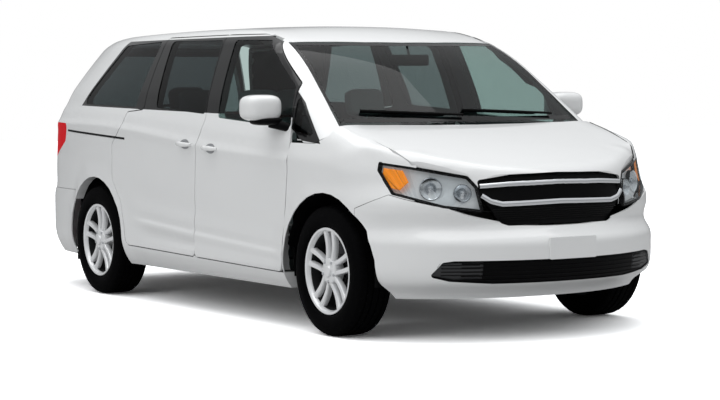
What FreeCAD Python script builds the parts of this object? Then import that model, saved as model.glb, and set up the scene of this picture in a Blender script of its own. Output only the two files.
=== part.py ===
import FreeCAD, Part
import math
import os

V = FreeCAD.Vector
os.makedirs("parts", exist_ok=True)

# Overall sizes, millimetres; +X forward, +Y left, +Z up, floor at z = 0
body_length = 5154.0
half_length = body_length / 2
wheel_radius = 360.0
wheel_width = 235.0
front_axle_x = 1622.0
rear_axle_x = -1378.0
track_half = 865.0
plate_half_width = 153.0
plate_z = 505.0
rim_radius = 233.0

# Panel thicknesses
skin = 5.0
door_skin = 14.0
door_wall = 92.0
frame_wall = 46.0
quarter_wall = 60.0
roof_wall = 26.0
hood_wall = 30.0
tailgate_wall = 55.0
glass_wall = 5.0
glass_inset = 4.0

# Clearances
shut_gap = 6.0
panel_gap = 3.0
pin_gap = 0.3

# Wheel arches, as ellipses in side view
front_arch = (front_axle_x, 440.0, 431.0)
rear_arch = (rear_axle_x + 22.0, 436.0, 424.0)

# Door hinges
door_axis_x = 1135.0
door_axis_y = 962.0
door_hinge_z = (560.0, 880.0)
hinge_pin_radius = 6.0
hinge_knuckle_radius = 12.0
door_core_front = 1075.0
door_thin_top = 1112.0
hinge_post_front = 1168.0
hinge_post_y = 800.0
post_shoulder_z = 1056.0

# Bonnet and tailgate hinges
hood_axis_x = 1590.0
hood_axis_z = 1105.0
hood_hinge_y = 690.0
tailgate_axis_x = -2032.0
tailgate_depth = 7.0
tailgate_hinge_y = 380.0
tailgate_lip = 4.0
tailgate_gap = 16.0
small_pin_radius = 4.0


# Curves through a few measured stations
def spline(points):
    n = len(points)
    xs = [p[0] for p in points]
    ys = [p[1] for p in points]
    h = [xs[i + 1] - xs[i] for i in range(n - 1)]
    low = [0.0] * n
    mid = [1.0] * n
    up = [0.0] * n
    rhs = [0.0] * n
    for i in range(1, n - 1):
        low[i] = h[i - 1]
        mid[i] = 2 * (h[i - 1] + h[i])
        up[i] = h[i]
        rhs[i] = 6 * ((ys[i + 1] - ys[i]) / h[i] - (ys[i] - ys[i - 1]) / h[i - 1])
    for i in range(1, n):
        w = low[i] / mid[i - 1]
        mid[i] -= w * up[i - 1]
        rhs[i] -= w * rhs[i - 1]
    bend = [0.0] * n
    bend[n - 1] = rhs[n - 1] / mid[n - 1]
    for i in range(n - 2, -1, -1):
        bend[i] = (rhs[i] - up[i] * bend[i + 1]) / mid[i]

    def value(t):
        if t <= xs[0]:
            slope = (ys[1] - ys[0]) / h[0] - h[0] * (2 * bend[0] + bend[1]) / 6
            return ys[0] + slope * (t - xs[0])
        if t >= xs[-1]:
            slope = (ys[-1] - ys[-2]) / h[-1] + h[-1] * (2 * bend[-1] + bend[-2]) / 6
            return ys[-1] + slope * (t - xs[-1])
        i = 0
        while t > xs[i + 1]:
            i += 1
        k = h[i]
        a = xs[i + 1] - t
        b = t - xs[i]
        return ((bend[i] * a ** 3 + bend[i + 1] * b ** 3) / (6 * k)
                + (ys[i] / k - bend[i] * k / 6) * a + (ys[i + 1] / k - bend[i + 1] * k / 6) * b)
    return value


def smooth(t):
    t = min(max(t, 0.0), 1.0)
    return t * t * (3 - 2 * t)


# Half widths of the body in plan, at the shoulder and at roof level
plan_low = spline([(-2577, 770), (-2400, 858), (-2300, 893), (-2150, 928), (-1950, 958), (-1700, 980),
                   (-1378, 993), (-700, 1000), (0, 1001), (700, 1000), (1200, 996), (1622, 986),
                   (1900, 972), (2069, 957), (2200, 944), (2400, 902), (2577, 850)])
plan_top = spline([(-2400, 440), (-2100, 548), (-1850, 650), (-1600, 724), (-1269, 776), (-700, 798),
                   (0, 800), (500, 790), (794, 768), (1132, 716), (1400, 655), (1700, 575)])
belt_inset = spline([(-2400, 76), (-2000, 62), (-1600, 44), (-1200, 40), (0, 40), (1600, 40), (2400, 40)])

# Heights of the shoulder crease, the belt line and the lower door crease
crease_z = spline([(-2400, 1120), (-1800, 1120), (-1003, 1100), (-114, 1032), (500, 984), (1218, 947),
                   (1800, 920), (2400, 900)])
belt_z = spline([(-2400, 1260), (-1648, 1250), (-775, 1236), (0, 1203), (700, 1152), (1232, 1112),
                 (1600, 1080), (2200, 1040)])
lower_crease_z = spline([(-1400, 560), (-661, 523), (134, 479), (1021, 437), (1800, 400)])
roof_level = 1660.0

# Long profiles of the bonnet, windscreen and roof, and of the nose and the tail
hood_line = spline([(1400, 1216), (1500, 1192), (1600, 1168), (1700, 1143), (1800, 1118), (2000, 1064),
                    (2200, 1003), (2350, 948), (2449, 905), (2577, 845)])
screen_line = spline([(500, 1880), (700, 1776), (909, 1658), (1100, 1535), (1300, 1402), (1500, 1266),
                      (1660, 1155), (1800, 1056)])
roof_line = spline([(-2400, 1668), (-2170, 1690), (-1800, 1715), (-1300, 1734), (-700, 1744),
                    (-100, 1745), (400, 1733), (800, 1697), (1000, 1665), (1400, 1570)])
nose_line = spline([(150, 2370), (230, 2400), (270, 2440), (323, 2535), (380, 2568), (450, 2574),
                    (520, 2573), (560, 2558), (600, 2505), (640, 2470), (700, 2467), (767, 2466),
                    (893, 2449), (980, 2425)])
tail_line = spline([(150, 2490), (260, 2535), (350, 2565), (450, 2577), (600, 2577), (650, 2560),
                    (690, 2515), (760, 2500), (900, 2492), (1050, 2465), (1200, 2415), (1400, 2320),
                    (1560, 2240), (1700, 2165), (1800, 2110)])


def arch_flare(x, z):
    lift = 0.0
    for cx, half, rise in (front_arch, rear_arch):
        d = math.hypot((x - cx) / half, (z - wheel_radius) / rise)
        beyond = (d - 1.0) * rise
        if z > 200 and beyond < 90:
            lift = max(lift, 9.0 * smooth((90 - beyond) / 90.0))
    return lift


def half_width(x, z):
    low = plan_low(x)
    zc = crease_z(x)
    zb = belt_z(x)
    inset = belt_inset(x)
    if z >= zb:
        t = (z - zb) / (roof_level - zb)
        return (low - inset) + (plan_top(x) - low + inset) * t ** 1.3
    if z >= zc:
        t = (z - zc) / (zb - zc)
        return low - inset * (0.75 * t + 0.25 * t * t)
    drop = zc - z
    w = low - 9.0 * (1 - math.exp(-drop / 28.0)) * math.exp(-drop / 420.0)
    if z < 420:
        w -= 62 * ((420 - z) / 185.0) ** 2.2
    zs = lower_crease_z(x)
    if x > 0:
        fade = smooth((1300 - x) / 300.0)
    else:
        fade = smooth((x + 900) / 350.0)
    w -= 8.0 * fade * smooth((z - zs + 4) / 26.0) * smooth((zs + 330 - z) / 300.0)
    return w + arch_flare(x, z)


# Distance-like functions, negative inside the body
def side_face(x, y, z):
    scale = 0.985 if z < belt_z(x) else 0.93
    return (abs(y) - half_width(x, z)) * scale


def hood_face(x, y, z):
    s = (y / 850.0) ** 2
    return (z - hood_line(x) + 14 * s + 20 * s * smooth((x - 1700) / 700.0)) * 0.945


def screen_face(x, y, z):
    bow = 106 * (abs(y) / 760.0) ** 2.1
    return (z - screen_line(x + bow)) * 0.832


def roof_face(x, y, z):
    return z - roof_line(x) + 26 * (y / 700.0) ** 2


def nose_face(x, y, z):
    y = abs(y)
    up = smooth((z - 560) / 160.0)
    low_bow = 226 * (y / 694.0) ** 2.2
    high_bow = 172 * (y / 694.0) ** 3 + 35 * smooth((z - 720) / 150.0) * min(y / 480.0, 1.3) ** 2
    return (x - min(nose_line(z), half_length - 3) + low_bow * (1 - up) + high_bow * up) * 0.93


def tail_face(x, y, z):
    return (-x - min(tail_line(z), half_length) + 95 * (abs(y) / 700.0) ** 2.4) * 0.95


def soft_max(a, b, r):
    if a > -r and b > -r:
        return math.hypot(a + r, b + r) - r
    return max(a, b)


def lower_body(x, y, z):
    side = side_face(x, y, z)
    nose = nose_face(x, y, z)
    corner = 205 - 95 * smooth((z - 560) / 160.0)
    f = soft_max(soft_max(hood_face(x, y, z), nose, 45), side, 85)
    return max(f, soft_max(nose, side, corner))


def upper_body(x, y, z):
    side = side_face(x, y, z)
    tail = tail_face(x, y, z)
    top = soft_max(screen_face(x, y, z), roof_face(x, y, z), 160)
    f = soft_max(soft_max(top, side, 75), tail, 60)
    return max(f, soft_max(tail, side, 200))


def tail_body(x, y, z):
    side = side_face(x, y, z)
    return soft_max(tail_face(x, y, z), side, 200)


# Point where a ray towards its centre meets the surface at a given depth
def surface_point(face, centre, direction, depth):
    far_side = 1500.0
    near_side = far_side
    for step in range(400):
        p = centre + direction * near_side
        gap = face(p.x, p.y, p.z) + depth
        if gap < 0:
            break
        far_side = near_side
        near_side -= min(max(gap * 0.6, 1.0), 80.0)
    if near_side < 0:
        raise ValueError("no surface from " + str(centre) + " along " + str(direction))
    for step in range(17):
        middle = (near_side + far_side) / 2
        p = centre + direction * middle
        if face(p.x, p.y, p.z) + depth < 0:
            near_side = middle
        else:
            far_side = middle
    return centre + direction * near_side


def heading(plan_deg, rise_deg):
    p = math.radians(plan_deg)
    e = math.radians(rise_deg)
    return V(math.cos(e) * math.cos(p), math.cos(e) * math.sin(p), math.sin(e))


# Cubic surface through a grid of points
def grid_parameters(grid):
    n = len(grid)
    total = [0.0] * n
    for k in range(len(grid[0])):
        run = [0.0]
        for i in range(1, n):
            run.append(run[-1] + (grid[i][k] - grid[i - 1][k]).Length)
        for i in range(n):
            total[i] += run[i] / run[-1]
    return [t / len(grid[0]) for t in total]


def basis_values(knots, count, t):
    if t >= knots[-1]:
        return [0.0] * (count - 1) + [1.0]
    values = [1.0 if knots[i] <= t < knots[i + 1] else 0.0 for i in range(len(knots) - 1)]
    for degree in (1, 2, 3):
        for i in range(len(knots) - 1 - degree):
            left = knots[i + degree] - knots[i]
            right = knots[i + degree + 1] - knots[i + 1]
            v = 0.0
            if left > 0:
                v += (t - knots[i]) / left * values[i]
            if right > 0:
                v += (knots[i + degree + 1] - t) / right * values[i + 1]
            values[i] = v
    return values[:count]


def inverse(matrix):
    n = len(matrix)
    rows = [list(matrix[i]) + [1.0 if i == j else 0.0 for j in range(n)] for i in range(n)]
    for i in range(n):
        best = max(range(i, n), key=lambda k: abs(rows[k][i]))
        rows[i], rows[best] = rows[best], rows[i]
        pivot = rows[i][i]
        rows[i] = [v / pivot for v in rows[i]]
        for k in range(n):
            if k != i and rows[k][i] != 0.0:
                f = rows[k][i]
                rows[k] = [a - f * b for a, b in zip(rows[k], rows[i])]
    return [row[n:] for row in rows]


def interpolator(params):
    n = len(params)
    inner = [(params[j] + params[j + 1] + params[j + 2]) / 3 for j in range(1, n - 3)]
    knots = [params[0]] * 4 + inner + [params[-1]] * 4
    solver = inverse([basis_values(knots, n, t) for t in params])
    return solver, [params[0]] + inner + [params[-1]], [4] + [1] * len(inner) + [4]


def surface_through(grid):
    flipped = [list(column) for column in zip(*grid)]
    u_solver, u_knots, u_mults = interpolator(grid_parameters(grid))
    v_solver, v_knots, v_mults = interpolator(grid_parameters(flipped))
    half = []
    for weights in u_solver:
        row = []
        for k in range(len(grid[0])):
            p = V(0, 0, 0)
            for w, line in zip(weights, grid):
                if abs(w) > 1e-12:
                    p = p + line[k] * w
            row.append(p)
        half.append(row)
    poles = []
    for line in half:
        row = []
        for weights in v_solver:
            p = V(0, 0, 0)
            for w, q in zip(weights, line):
                if abs(w) > 1e-12:
                    p = p + q * w
            row.append(p)
        poles.append(row)
    s = Part.BSplineSurface()
    s.buildFromPolesMultsKnots(poles, u_mults, v_mults, u_knots, v_knots, False, False, 3, 3)
    return s


# Solid between an outer and an inner grid of points
def solid_between(outer, inner):
    faces = []
    surfaces = []
    for grid in (outer, inner):
        s = surface_through(grid)
        surfaces.append(s)
        faces.append(s.toShape())
    a, b = surfaces
    u0, u1, v0, v1 = a.bounds()
    p0, p1, q0, q1 = b.bounds()
    pairs = [(a.uIso(u0), b.uIso(p0)), (a.uIso(u1), b.uIso(p1)),
             (a.vIso(v0), b.vIso(q0)), (a.vIso(v1), b.vIso(q1))]
    for c, d in pairs:
        faces.append(Part.makeRuledSurface(c.toShape(), d.toShape()))
    shell = Part.makeShell(faces)
    shell.sewShape()
    solid = Part.makeSolid(shell)
    if solid.Volume < 0:
        solid.reverse()
    return solid


# Wall that follows the body; depth values may be numbers or functions of the point
def wall(face, rays, outer_depth, inner_depth):
    outer = []
    inner = []
    for row in rays:
        outer_row = []
        inner_row = []
        for centre, direction in row:
            p = surface_point(face, centre, direction, 0.0)
            s = outer_depth(p) if callable(outer_depth) else outer_depth
            t = inner_depth(p) if callable(inner_depth) else inner_depth
            if s != 0.0:
                p = surface_point(face, centre, direction, s)
            outer_row.append(p)
            inner_row.append(surface_point(face, centre, direction, t))
        outer.append(outer_row)
        inner.append(inner_row)
    return solid_between(outer, inner)


# Outline with rounded corners, offset outwards by grow
def outline(points, radius=0.0, grow=0.0):
    n = len(points)
    area = 0.0
    for i in range(n):
        j = (i + 1) % n
        area += points[i][0] * points[j][1] - points[j][0] * points[i][1]
    turn = 1.0 if area > 0 else -1.0
    lines = []
    for i in range(n):
        a = points[i]
        b = points[(i + 1) % n]
        length = math.hypot(b[0] - a[0], b[1] - a[1])
        d = ((b[0] - a[0]) / length, (b[1] - a[1]) / length)
        shift = (d[1] * turn * grow, -d[0] * turn * grow)
        lines.append(((a[0] + shift[0], a[1] + shift[1]), d))
    corners = []
    for i in range(n):
        (p, d) = lines[i - 1]
        (q, e) = lines[i]
        cross = d[0] * e[1] - d[1] * e[0]
        if abs(cross) < 1e-6:
            corners.append(q)
            continue
        t = ((q[0] - p[0]) * e[1] - (q[1] - p[1]) * e[0]) / cross
        corners.append((p[0] + d[0] * t, p[1] + d[1] * t))
    edges = []
    trims = []
    for i in range(n):
        d = lines[i - 1][1]
        e = lines[i][1]
        c = corners[i]
        cross = d[0] * e[1] - d[1] * e[0]
        dot = d[0] * e[0] + d[1] * e[1]
        bend = math.atan2(abs(cross), dot)
        r = radius[i] if isinstance(radius, (list, tuple)) else radius
        if r > 0 and cross * turn > 0:
            r = max(r + grow, 0.5)
        if r <= 0 or bend < 0.03:
            trims.append((c, c, None))
            continue
        prev_len = math.hypot(c[0] - corners[i - 1][0], c[1] - corners[i - 1][1])
        nxt = corners[(i + 1) % n]
        next_len = math.hypot(nxt[0] - c[0], nxt[1] - c[1])
        cut = min(r * math.tan(bend / 2), 0.45 * prev_len, 0.45 * next_len)
        r = cut / math.tan(bend / 2)
        start = (c[0] - d[0] * cut, c[1] - d[1] * cut)
        end = (c[0] + e[0] * cut, c[1] + e[1] * cut)
        half = r / math.cos(bend / 2) - r
        bis = (e[0] - d[0], e[1] - d[1])
        size = math.hypot(bis[0], bis[1])
        middle = (c[0] + bis[0] / size * half, c[1] + bis[1] / size * half)
        trims.append((start, end, middle))
    return trims


# Solid made by moving an outline along an axis: "y" side view, "z" plan, "x" front view
def prism(points, axis, low, high, radius=0.0, grow=0.0):
    place = {"y": lambda p: V(p[0], low, p[1]),
             "z": lambda p: V(p[0], p[1], low),
             "x": lambda p: V(low, p[0], p[1])}[axis]
    move = {"y": V(0, high - low, 0), "z": V(0, 0, high - low), "x": V(high - low, 0, 0)}[axis]
    trims = outline(points, radius, grow)
    edges = []
    n = len(trims)
    for i in range(n):
        start, end, middle = trims[i]
        if middle is not None:
            edges.append(Part.Arc(place(start), place(middle), place(end)).toShape())
        nxt = trims[(i + 1) % n][0]
        if math.hypot(nxt[0] - end[0], nxt[1] - end[1]) > 1e-6:
            edges.append(Part.makeLine(place(end), place(nxt)))
    return Part.Face(Part.Wire(edges)).extrude(move)


# Prism whose outline is given by points in space and pushed along a direction
def slanted_prism(points, direction, depth, grow=0.0):
    d = V(direction)
    d.normalize()
    side = V(0, 0, 1).cross(d)
    side.normalize()
    up = d.cross(side)
    flat = [(V(*p).dot(side), V(*p).dot(up)) for p in points]
    trims = outline(flat, 8.0, grow)
    mid = sum((V(*p).dot(d) for p in points), 0.0) / len(points)

    def place(p):
        return side * p[0] + up * p[1] + d * (mid - depth)
    edges = []
    n = len(trims)
    for i in range(n):
        start, end, middle = trims[i]
        if middle is not None:
            edges.append(Part.Arc(place(start), place(middle), place(end)).toShape())
        nxt = trims[(i + 1) % n][0]
        if math.hypot(nxt[0] - end[0], nxt[1] - end[1]) > 1e-6:
            edges.append(Part.makeLine(place(end), place(nxt)))
    return Part.Face(Part.Wire(edges)).extrude(d * (2 * depth))


def mirrored(shape):
    return shape.mirror(V(0, 0, 0), V(0, 1, 0))


def box(x0, x1, y0, y1, z0, z1):
    return Part.makeBox(x1 - x0, y1 - y0, z1 - z0, V(x0, y0, z0))


def rounded_box(x0, x1, y0, y1, z0, z1, radius):
    b = box(x0, x1, y0, y1, z0, z1)
    return b.makeFillet(radius, b.Edges)


def rod(a, b, radius):
    a = V(*a)
    b = V(*b)
    return Part.makeCylinder(radius, (b - a).Length, a, b - a)


def solids(items):
    found = []
    for item in items:
        found.extend(item.Solids)
    return Part.makeCompound(found)


def largest(shape):
    return max(shape.Solids, key=lambda s: s.Volume)


def join(items):
    shape = items[0]
    for other in items[1:]:
        shape = shape.fuse(other)
    return shape.removeSplitter()


def save(name, shape):
    shape.exportStep("parts/" + name + ".step")
    print(name, len(shape.Solids), round(shape.Volume / 1e6, 2), shape.isValid())


# Wheel arch openings
def arch_cut(arch, grow=0.0, y0=300.0, y1=1300.0):
    cx, half, rise = arch
    half += grow
    rise += grow
    points = [(cx - half, -50.0), (cx + half, -50.0), (cx + half, wheel_radius - 60.0)]
    for i in range(1, 16):
        a = math.pi * i / 16
        points.append((cx + half * math.cos(a), wheel_radius + rise * math.sin(a)))
    points.append((cx - half, wheel_radius - 60.0))
    return prism(points, "y", y0, y1, 60.0)


# Rows of the left side wall, which follow the creases
def lower_rows(x):
    zs = lower_crease_z(x)
    return [232.0, 262.0, 300.0, 345.0, zs - 12, zs + 2, zs + 15, zs + 32]


def middle_rows(x):
    zs = lower_crease_z(x)
    zc = crease_z(x)
    zb = belt_z(x)
    rows = [zs + 32 + (zc - 82 - zs) * i / 5.0 for i in range(1, 5)]
    return rows + [zc - 50, zc - 26, zc - 9, zc + 4, zc + 30, (zc + zb) / 2 + 15, zb + 6]


def window_top(x):
    return min(1560.0, screen_line(x + 45) - 70)


def upper_rows(x):
    low = belt_z(x) + 6
    return [low + (window_top(x) - low) * i / 4.0 for i in range(1, 5)]


def side_rows(x):
    return lower_rows(x) + middle_rows(x) + upper_rows(x)


roof_turn = (7, 14, 21, 28, 35)
side_depth_y = 450.0


def side_grid(columns, rows, turn=roof_turn, corner=()):
    grid = []
    stations = [(x, 90.0) for x in columns] + [(columns[-1], a) for a in corner]
    for x, a in stations:
        top = window_top(x)
        row = [(V(x, side_depth_y, z), heading(a, 0)) for z in rows(x)]
        row += [(V(x, side_depth_y, top), heading(a, e)) for e in turn]
        grid.append(row)
    return grid


def stations(first, last, count):
    return [first + (last - first) * i / (count - 1.0) for i in range(count)]


belt_soft = 30.0


def wall_depth(low_depth):
    def depth(p):
        t = smooth((p.z - belt_z(p.x) + belt_soft) / belt_soft)
        return low_depth + (frame_wall - low_depth) * t
    return depth


door_depth = wall_depth(door_wall)
quarter_depth = wall_depth(quarter_wall)

# Door outlines in side view (x, z)
front_door_outline = [(82, 344), (1164, 325), (1234, 932), (1238, 1056), (1150, 1384), (704, 1652),
                      (560, 1676), (158, 1680), (204, 1175), (132, 1014), (118, 880)]
front_door_radii = [30, 60, 60, 20, 30, 60, 30, 14, 60, 60, 60]
sliding_door_outline = [(-640, 1680), (152, 1680), (198, 1175), (126, 1014), (112, 880), (76, 344),
                        (-868, 361), (-892, 480), (-945, 640), (-1079, 780), (-1079, 1000), (-1050, 1030),
                        (-938, 1109), (-881, 1213), (-652, 1228)]
sliding_door_radii = [14, 14, 60, 60, 60, 30, 40, 60, 80, 60, 30, 30, 60, 30, 30]
front_glass_outline = [(352, 1187), (1216, 1136), (1132, 1368), (668, 1642), (300, 1650)]
sliding_glass_outline = [(-482, 1243), (190, 1207), (146, 1652), (-548, 1660)]
quarter_glass_outline = [(-1640, 1262), (-778, 1248), (-694, 1662), (-1250, 1646)]
corner_glass_outline = [(1246, 1126), (1484, 1088), (1192, 1328)]

far = 1300.0
door_low_y = 726.0
front_door_prism = prism(front_door_outline, "y", door_low_y, far, front_door_radii)
front_door_hole = prism(front_door_outline, "y", door_low_y - shut_gap, far, front_door_radii, shut_gap)
sliding_door_prism = prism(sliding_door_outline, "y", door_low_y, far, sliding_door_radii)
sliding_door_hole = prism(sliding_door_outline, "y", door_low_y - shut_gap, far, sliding_door_radii, shut_gap)
front_glass_prism = prism(front_glass_outline, "y", 300, far, 24)
sliding_glass_prism = prism(sliding_glass_outline, "y", 300, far, 30)
quarter_glass_prism = prism(quarter_glass_outline, "y", 300, far, 30)
corner_glass_prism = prism(corner_glass_outline, "y", 300, far, 14)

# Front door: whole wall behind its window, thin skin over the hinges
front_door_grid = side_grid(stations(1275, 20, 14), side_rows)
front_door = wall(upper_body, front_door_grid, 0.0, door_depth)
front_door = front_door.common(front_door_prism).cut(front_glass_prism)
hinge_grid = side_grid(stations(1300, 1080, 4), lambda x: lower_rows(x) + middle_rows(x), ())
hinge_pocket = wall(upper_body, hinge_grid, door_skin, 160.0)
front_door = front_door.cut(hinge_pocket.common(box(door_core_front, 1400, 300, far, 200, door_thin_top)))
knuckles = []
for z in door_hinge_z:
    arm = box(door_core_front - 20, door_axis_x, door_axis_y - 10, door_axis_y + 10, z - 20, z + 20)
    arm = arm.fuse(rod((door_axis_x, door_axis_y, z - 20), (door_axis_x, door_axis_y, z + 20),
                       hinge_knuckle_radius))
    knuckles.append(arm.cut(rod((door_axis_x, door_axis_y, z - 30), (door_axis_x, door_axis_y, z + 30),
                                hinge_pin_radius + pin_gap)))
front_door = join([front_door] + knuckles)
save("front_door_left", front_door)
save("front_door_right", mirrored(front_door))


def pane(columns, shape):
    grid = side_grid(columns, lambda x: [belt_z(x) - 60, belt_z(x) - 20] + upper_rows(x))
    return wall(upper_body, grid, glass_inset, glass_inset + glass_wall).common(shape)


front_glass = pane(stations(1250, 260, 11), front_glass_prism)
save("front_door_glass_left", front_glass)
save("front_door_glass_right", mirrored(front_glass))

# Sliding door
sliding_door_grid = side_grid(stations(230, -1110, 13), side_rows)
sliding_door = wall(upper_body, sliding_door_grid, 0.0, door_depth)
sliding_door = largest(sliding_door.common(sliding_door_prism).cut(sliding_glass_prism).cut(arch_cut(rear_arch)))
save("sliding_door_left", sliding_door)
save("sliding_door_right", mirrored(sliding_door))
side_panes = [pane(stations(230, -590, 8), sliding_glass_prism), pane(stations(-660, -1700, 9), quarter_glass_prism),
              pane(stations(1495, 1120, 5), corner_glass_prism)]
save("side_glass", solids(side_panes + [mirrored(p) for p in side_panes]))

# Windscreen and the pillars beside it
screen_normal = V(0.555, 0, 0.832)


def screen_rays(half, count):
    grid = []
    for i in range(12):
        s = -0.05 + 1.12 * i / 11.0
        foot = V(909 + 741 * s, 0, 1658 - 501 * s) - screen_normal * 260
        row = []
        for j in range(count):
            y = -half + 2 * half * j / (count - 1)
            row.append((foot + V(-106 * (abs(y) / 760.0) ** 2.1, y, 0), screen_normal))
        grid.append(row)
    return grid


def screen_body(x, y, z):
    return soft_max(screen_face(x, y, z), roof_face(x, y, z), 160)


def along_screen(points, grow=0.0, radius=30.0):
    side = V(0, 1, 0)
    up = screen_normal.cross(side)
    flat = [(V(*p).dot(side), V(*p).dot(up)) for p in points]
    trims = outline(flat, radius, grow)
    base = screen_normal * 900

    def place(p):
        return side * p[0] + up * p[1] + base
    edges = []
    n = len(trims)
    for i in range(n):
        start, end, middle = trims[i]
        if middle is not None:
            edges.append(Part.Arc(place(start), place(middle), place(end)).toShape())
        nxt = trims[(i + 1) % n][0]
        edges.append(Part.makeLine(place(end), place(nxt)))
    return Part.Face(Part.Wire(edges)).extrude(screen_normal * 1500)


screen_edge = [(1558, 832, 1165), (1610, 600, 1160), (1638, 300, 1158), (1646, 0, 1157), (1638, -300, 1158),
               (1610, -600, 1160), (1558, -832, 1165), (794, -713, 1660), (842, -500, 1658),
               (892, -250, 1658), (909, 0, 1658), (892, 250, 1658), (842, 500, 1658), (794, 713, 1660)]
screen_prism = along_screen(screen_edge, 0.0, 12.0)
windscreen = wall(screen_body, screen_rays(860, 19), glass_inset, glass_inset + glass_wall)
windscreen = windscreen.common(screen_prism)
save("windscreen", windscreen)

# Front pillar beside the windscreen
pillar_rays = []
for i in range(15):
    s = i / 14.0
    c = V(1560 - 1160 * s, 640 - 40 * s, 1010 + 560 * s)
    row = []
    for k in range(9):
        a = math.radians(-6 + 12.0 * k)
        row.append((c, V(0.555 * math.sin(a), math.cos(a), 0.832 * math.sin(a))))
    pillar_rays.append(row)
pillar_wall = wall(upper_body, pillar_rays, 0.0, frame_wall)
pillar_wall = pillar_wall.cut(screen_prism).cut(front_door_hole).cut(corner_glass_prism)
pillar_wall = pillar_wall.cut(box(1490, 1800, 0, 800, 900, 1400))
pillar_wall = pillar_wall.cut(box(hood_axis_x - 22, 1800, 780, 868, 900, hood_axis_z + 31))
fender_line = [(1244, 1060), (1500, 1058), (1700, 1130), (1700, -100), (1244, -100)]
fender_side = prism(fender_line, "y", 300, far)
pillar_zone = prism([(1244, 1060), (1500, 1058), (1640, 1140), (1640, 1200), (760, 1800), (600, 1800),
                     (600, 1640), (704, 1652), (1150, 1384)], "y", 300, far)

# Roof
roof_seam_y = 700.0
roof_rays = []
for i in range(24):
    x = 1000 - 3180 * i / 23.0
    row = []
    for j in range(15):
        y = -760 + 1520 * j / 14.0
        row.append((V(x, y, 1000), V(0, 0, 1)))
    roof_rays.append(row)


def roof_only(x, y, z):
    side = side_face(x, y, z)
    top = soft_max(screen_face(x, y, z), roof_face(x, y, z), 160)
    return soft_max(top, side, 75)


roof_shell = wall(roof_only, roof_rays, 0.0, roof_wall)
roof_back = tailgate_axis_x + tailgate_lip + tailgate_gap
roof_plan = [(1050, roof_seam_y - 60), (840, roof_seam_y - 12), (500, roof_seam_y), (-1000, roof_seam_y),
             (-1600, 640), (roof_back, 545)]
roof_plan = roof_plan + [(p[0], -p[1]) for p in reversed(roof_plan)]
roof_cutter = prism(roof_plan, "z", 1000, 1900)
roof = roof_shell.common(roof_cutter).cut(screen_prism)
tailgate_axis_z = roof_line(tailgate_axis_x) - 26 * (tailgate_hinge_y / 700.0) ** 2 - tailgate_depth


def hinge_set(x, y, z, half, pin, plate, reach, low, high):
    pieces = [rod((x, y - half - plate, z), (x, y + half + plate, z), pin)]
    for y0 in (y - half - plate, y + half):
        pieces.append(box(min(x - pin - 2, x + reach), max(x + pin + 2, x + reach), y0, y0 + plate, z - low, z + high))
    return pieces


roof = largest(roof)
for s in (1, -1):
    for piece in hinge_set(tailgate_axis_x, s * tailgate_hinge_y, tailgate_axis_z, 30, small_pin_radius, 6,
                           34, 10, 4):
        roof = roof.fuse(piece)
roof = join([roof])
save("roof", roof)

# Side frame: sill, pillars, roof rail and rear quarter
tailgate_outline = [(-700, 690), (700, 690), (740, 900), (715, 1180), (640, 1400), (548, 1640), (548, 1800),
                    (-548, 1800), (-548, 1640), (-640, 1400), (-715, 1180), (-740, 900)]
tailgate_front = tailgate_axis_x + tailgate_lip
tailgate_zone = prism(tailgate_outline, "x", -3000, tailgate_front, 30)
tailgate_hole = prism(tailgate_outline, "x", -3000, tailgate_front + tailgate_gap, 30, shut_gap)
rear_bumper_outline = [(-1700, 100), (-1700, 684), (-1786, 682), (-2200, 682), (-2700, 682), (-2700, 100)]
rear_bumper_zone = prism(rear_bumper_outline, "y", -1300, 1300)
rear_bumper_hole = prism(rear_bumper_outline, "y", -1300, 1300, 0.0, panel_gap)
tail_lamp_outline = [(-1864, 1132), (-2500, 1148), (-2700, 1148), (-2700, 880), (-2500, 880), (-2120, 905),
                     (-1910, 1010)]
tail_lamp_prism = prism(tail_lamp_outline, "y", 300, far, 16)
corner_turn = (98, 107, 116, 125, 134, 143, 151, 159, 166, 172)
quarter_grid = side_grid(stations(-560, -1740, 11), side_rows, roof_turn, corner_turn)
quarter = wall(upper_body, quarter_grid, 0.0, quarter_depth)
quarter = quarter.cut(sliding_door_hole).cut(quarter_glass_prism).cut(arch_cut(rear_arch))
quarter = quarter.cut(rear_bumper_hole).cut(tailgate_hole).cut(roof_cutter).cut(tail_lamp_prism)
quarter = quarter.cut(box(-700, 0, 0, far, 1600, 1900)).cut(box(-640, 0, 0, far, 0, 1900))
rail_grid = side_grid(stations(650, -760, 13), lambda x: [belt_z(x) - 20] + upper_rows(x))
rail = wall(upper_body, rail_grid, 0.0, frame_wall)
rail = rail.common(box(-700, 600, 300, far, 1600, 1760))
rail = rail.cut(roof_cutter).cut(sliding_door_hole).cut(front_door_hole)
sill_grid = side_grid(stations(1290, -960, 14), lower_rows, ())
sill = wall(upper_body, sill_grid, 0.0, 110.0)
sill = sill.cut(sliding_door_hole).cut(front_door_hole).cut(arch_cut(rear_arch)).cut(arch_cut(front_arch))
sill = sill.common(prism([(-960, 100), (1166, 100), (1166, 321), (-960, 372)], "y", 300, far))
print([len(k.Solids) for k in (quarter, rail, sill)])
quarter = largest(quarter)
rail = largest(rail)
sill = largest(sill)
pillar_part = largest(pillar_wall.common(pillar_zone).cut(roof_cutter))
foot_top = door_thin_top - 8.0
foot_low = foot_top - 36.0
hinge_post = box(1100, hinge_post_front, hinge_post_y, hinge_post_y + 80, 280, post_shoulder_z)
hinge_post = hinge_post.fuse(box(1100, hinge_post_front, hinge_post_y, hinge_post_y + 50, post_shoulder_z - 6, foot_top))
pillar_foot = box(hinge_post_front - 18, 1340, hinge_post_y, hinge_post_y + 50, foot_low, foot_top)
pillar_foot = pillar_foot.fuse(box(1252, 1340, hinge_post_y, 932, foot_low, foot_top))
centre_grid = side_grid(stations(230, 30, 5), side_rows)
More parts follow.
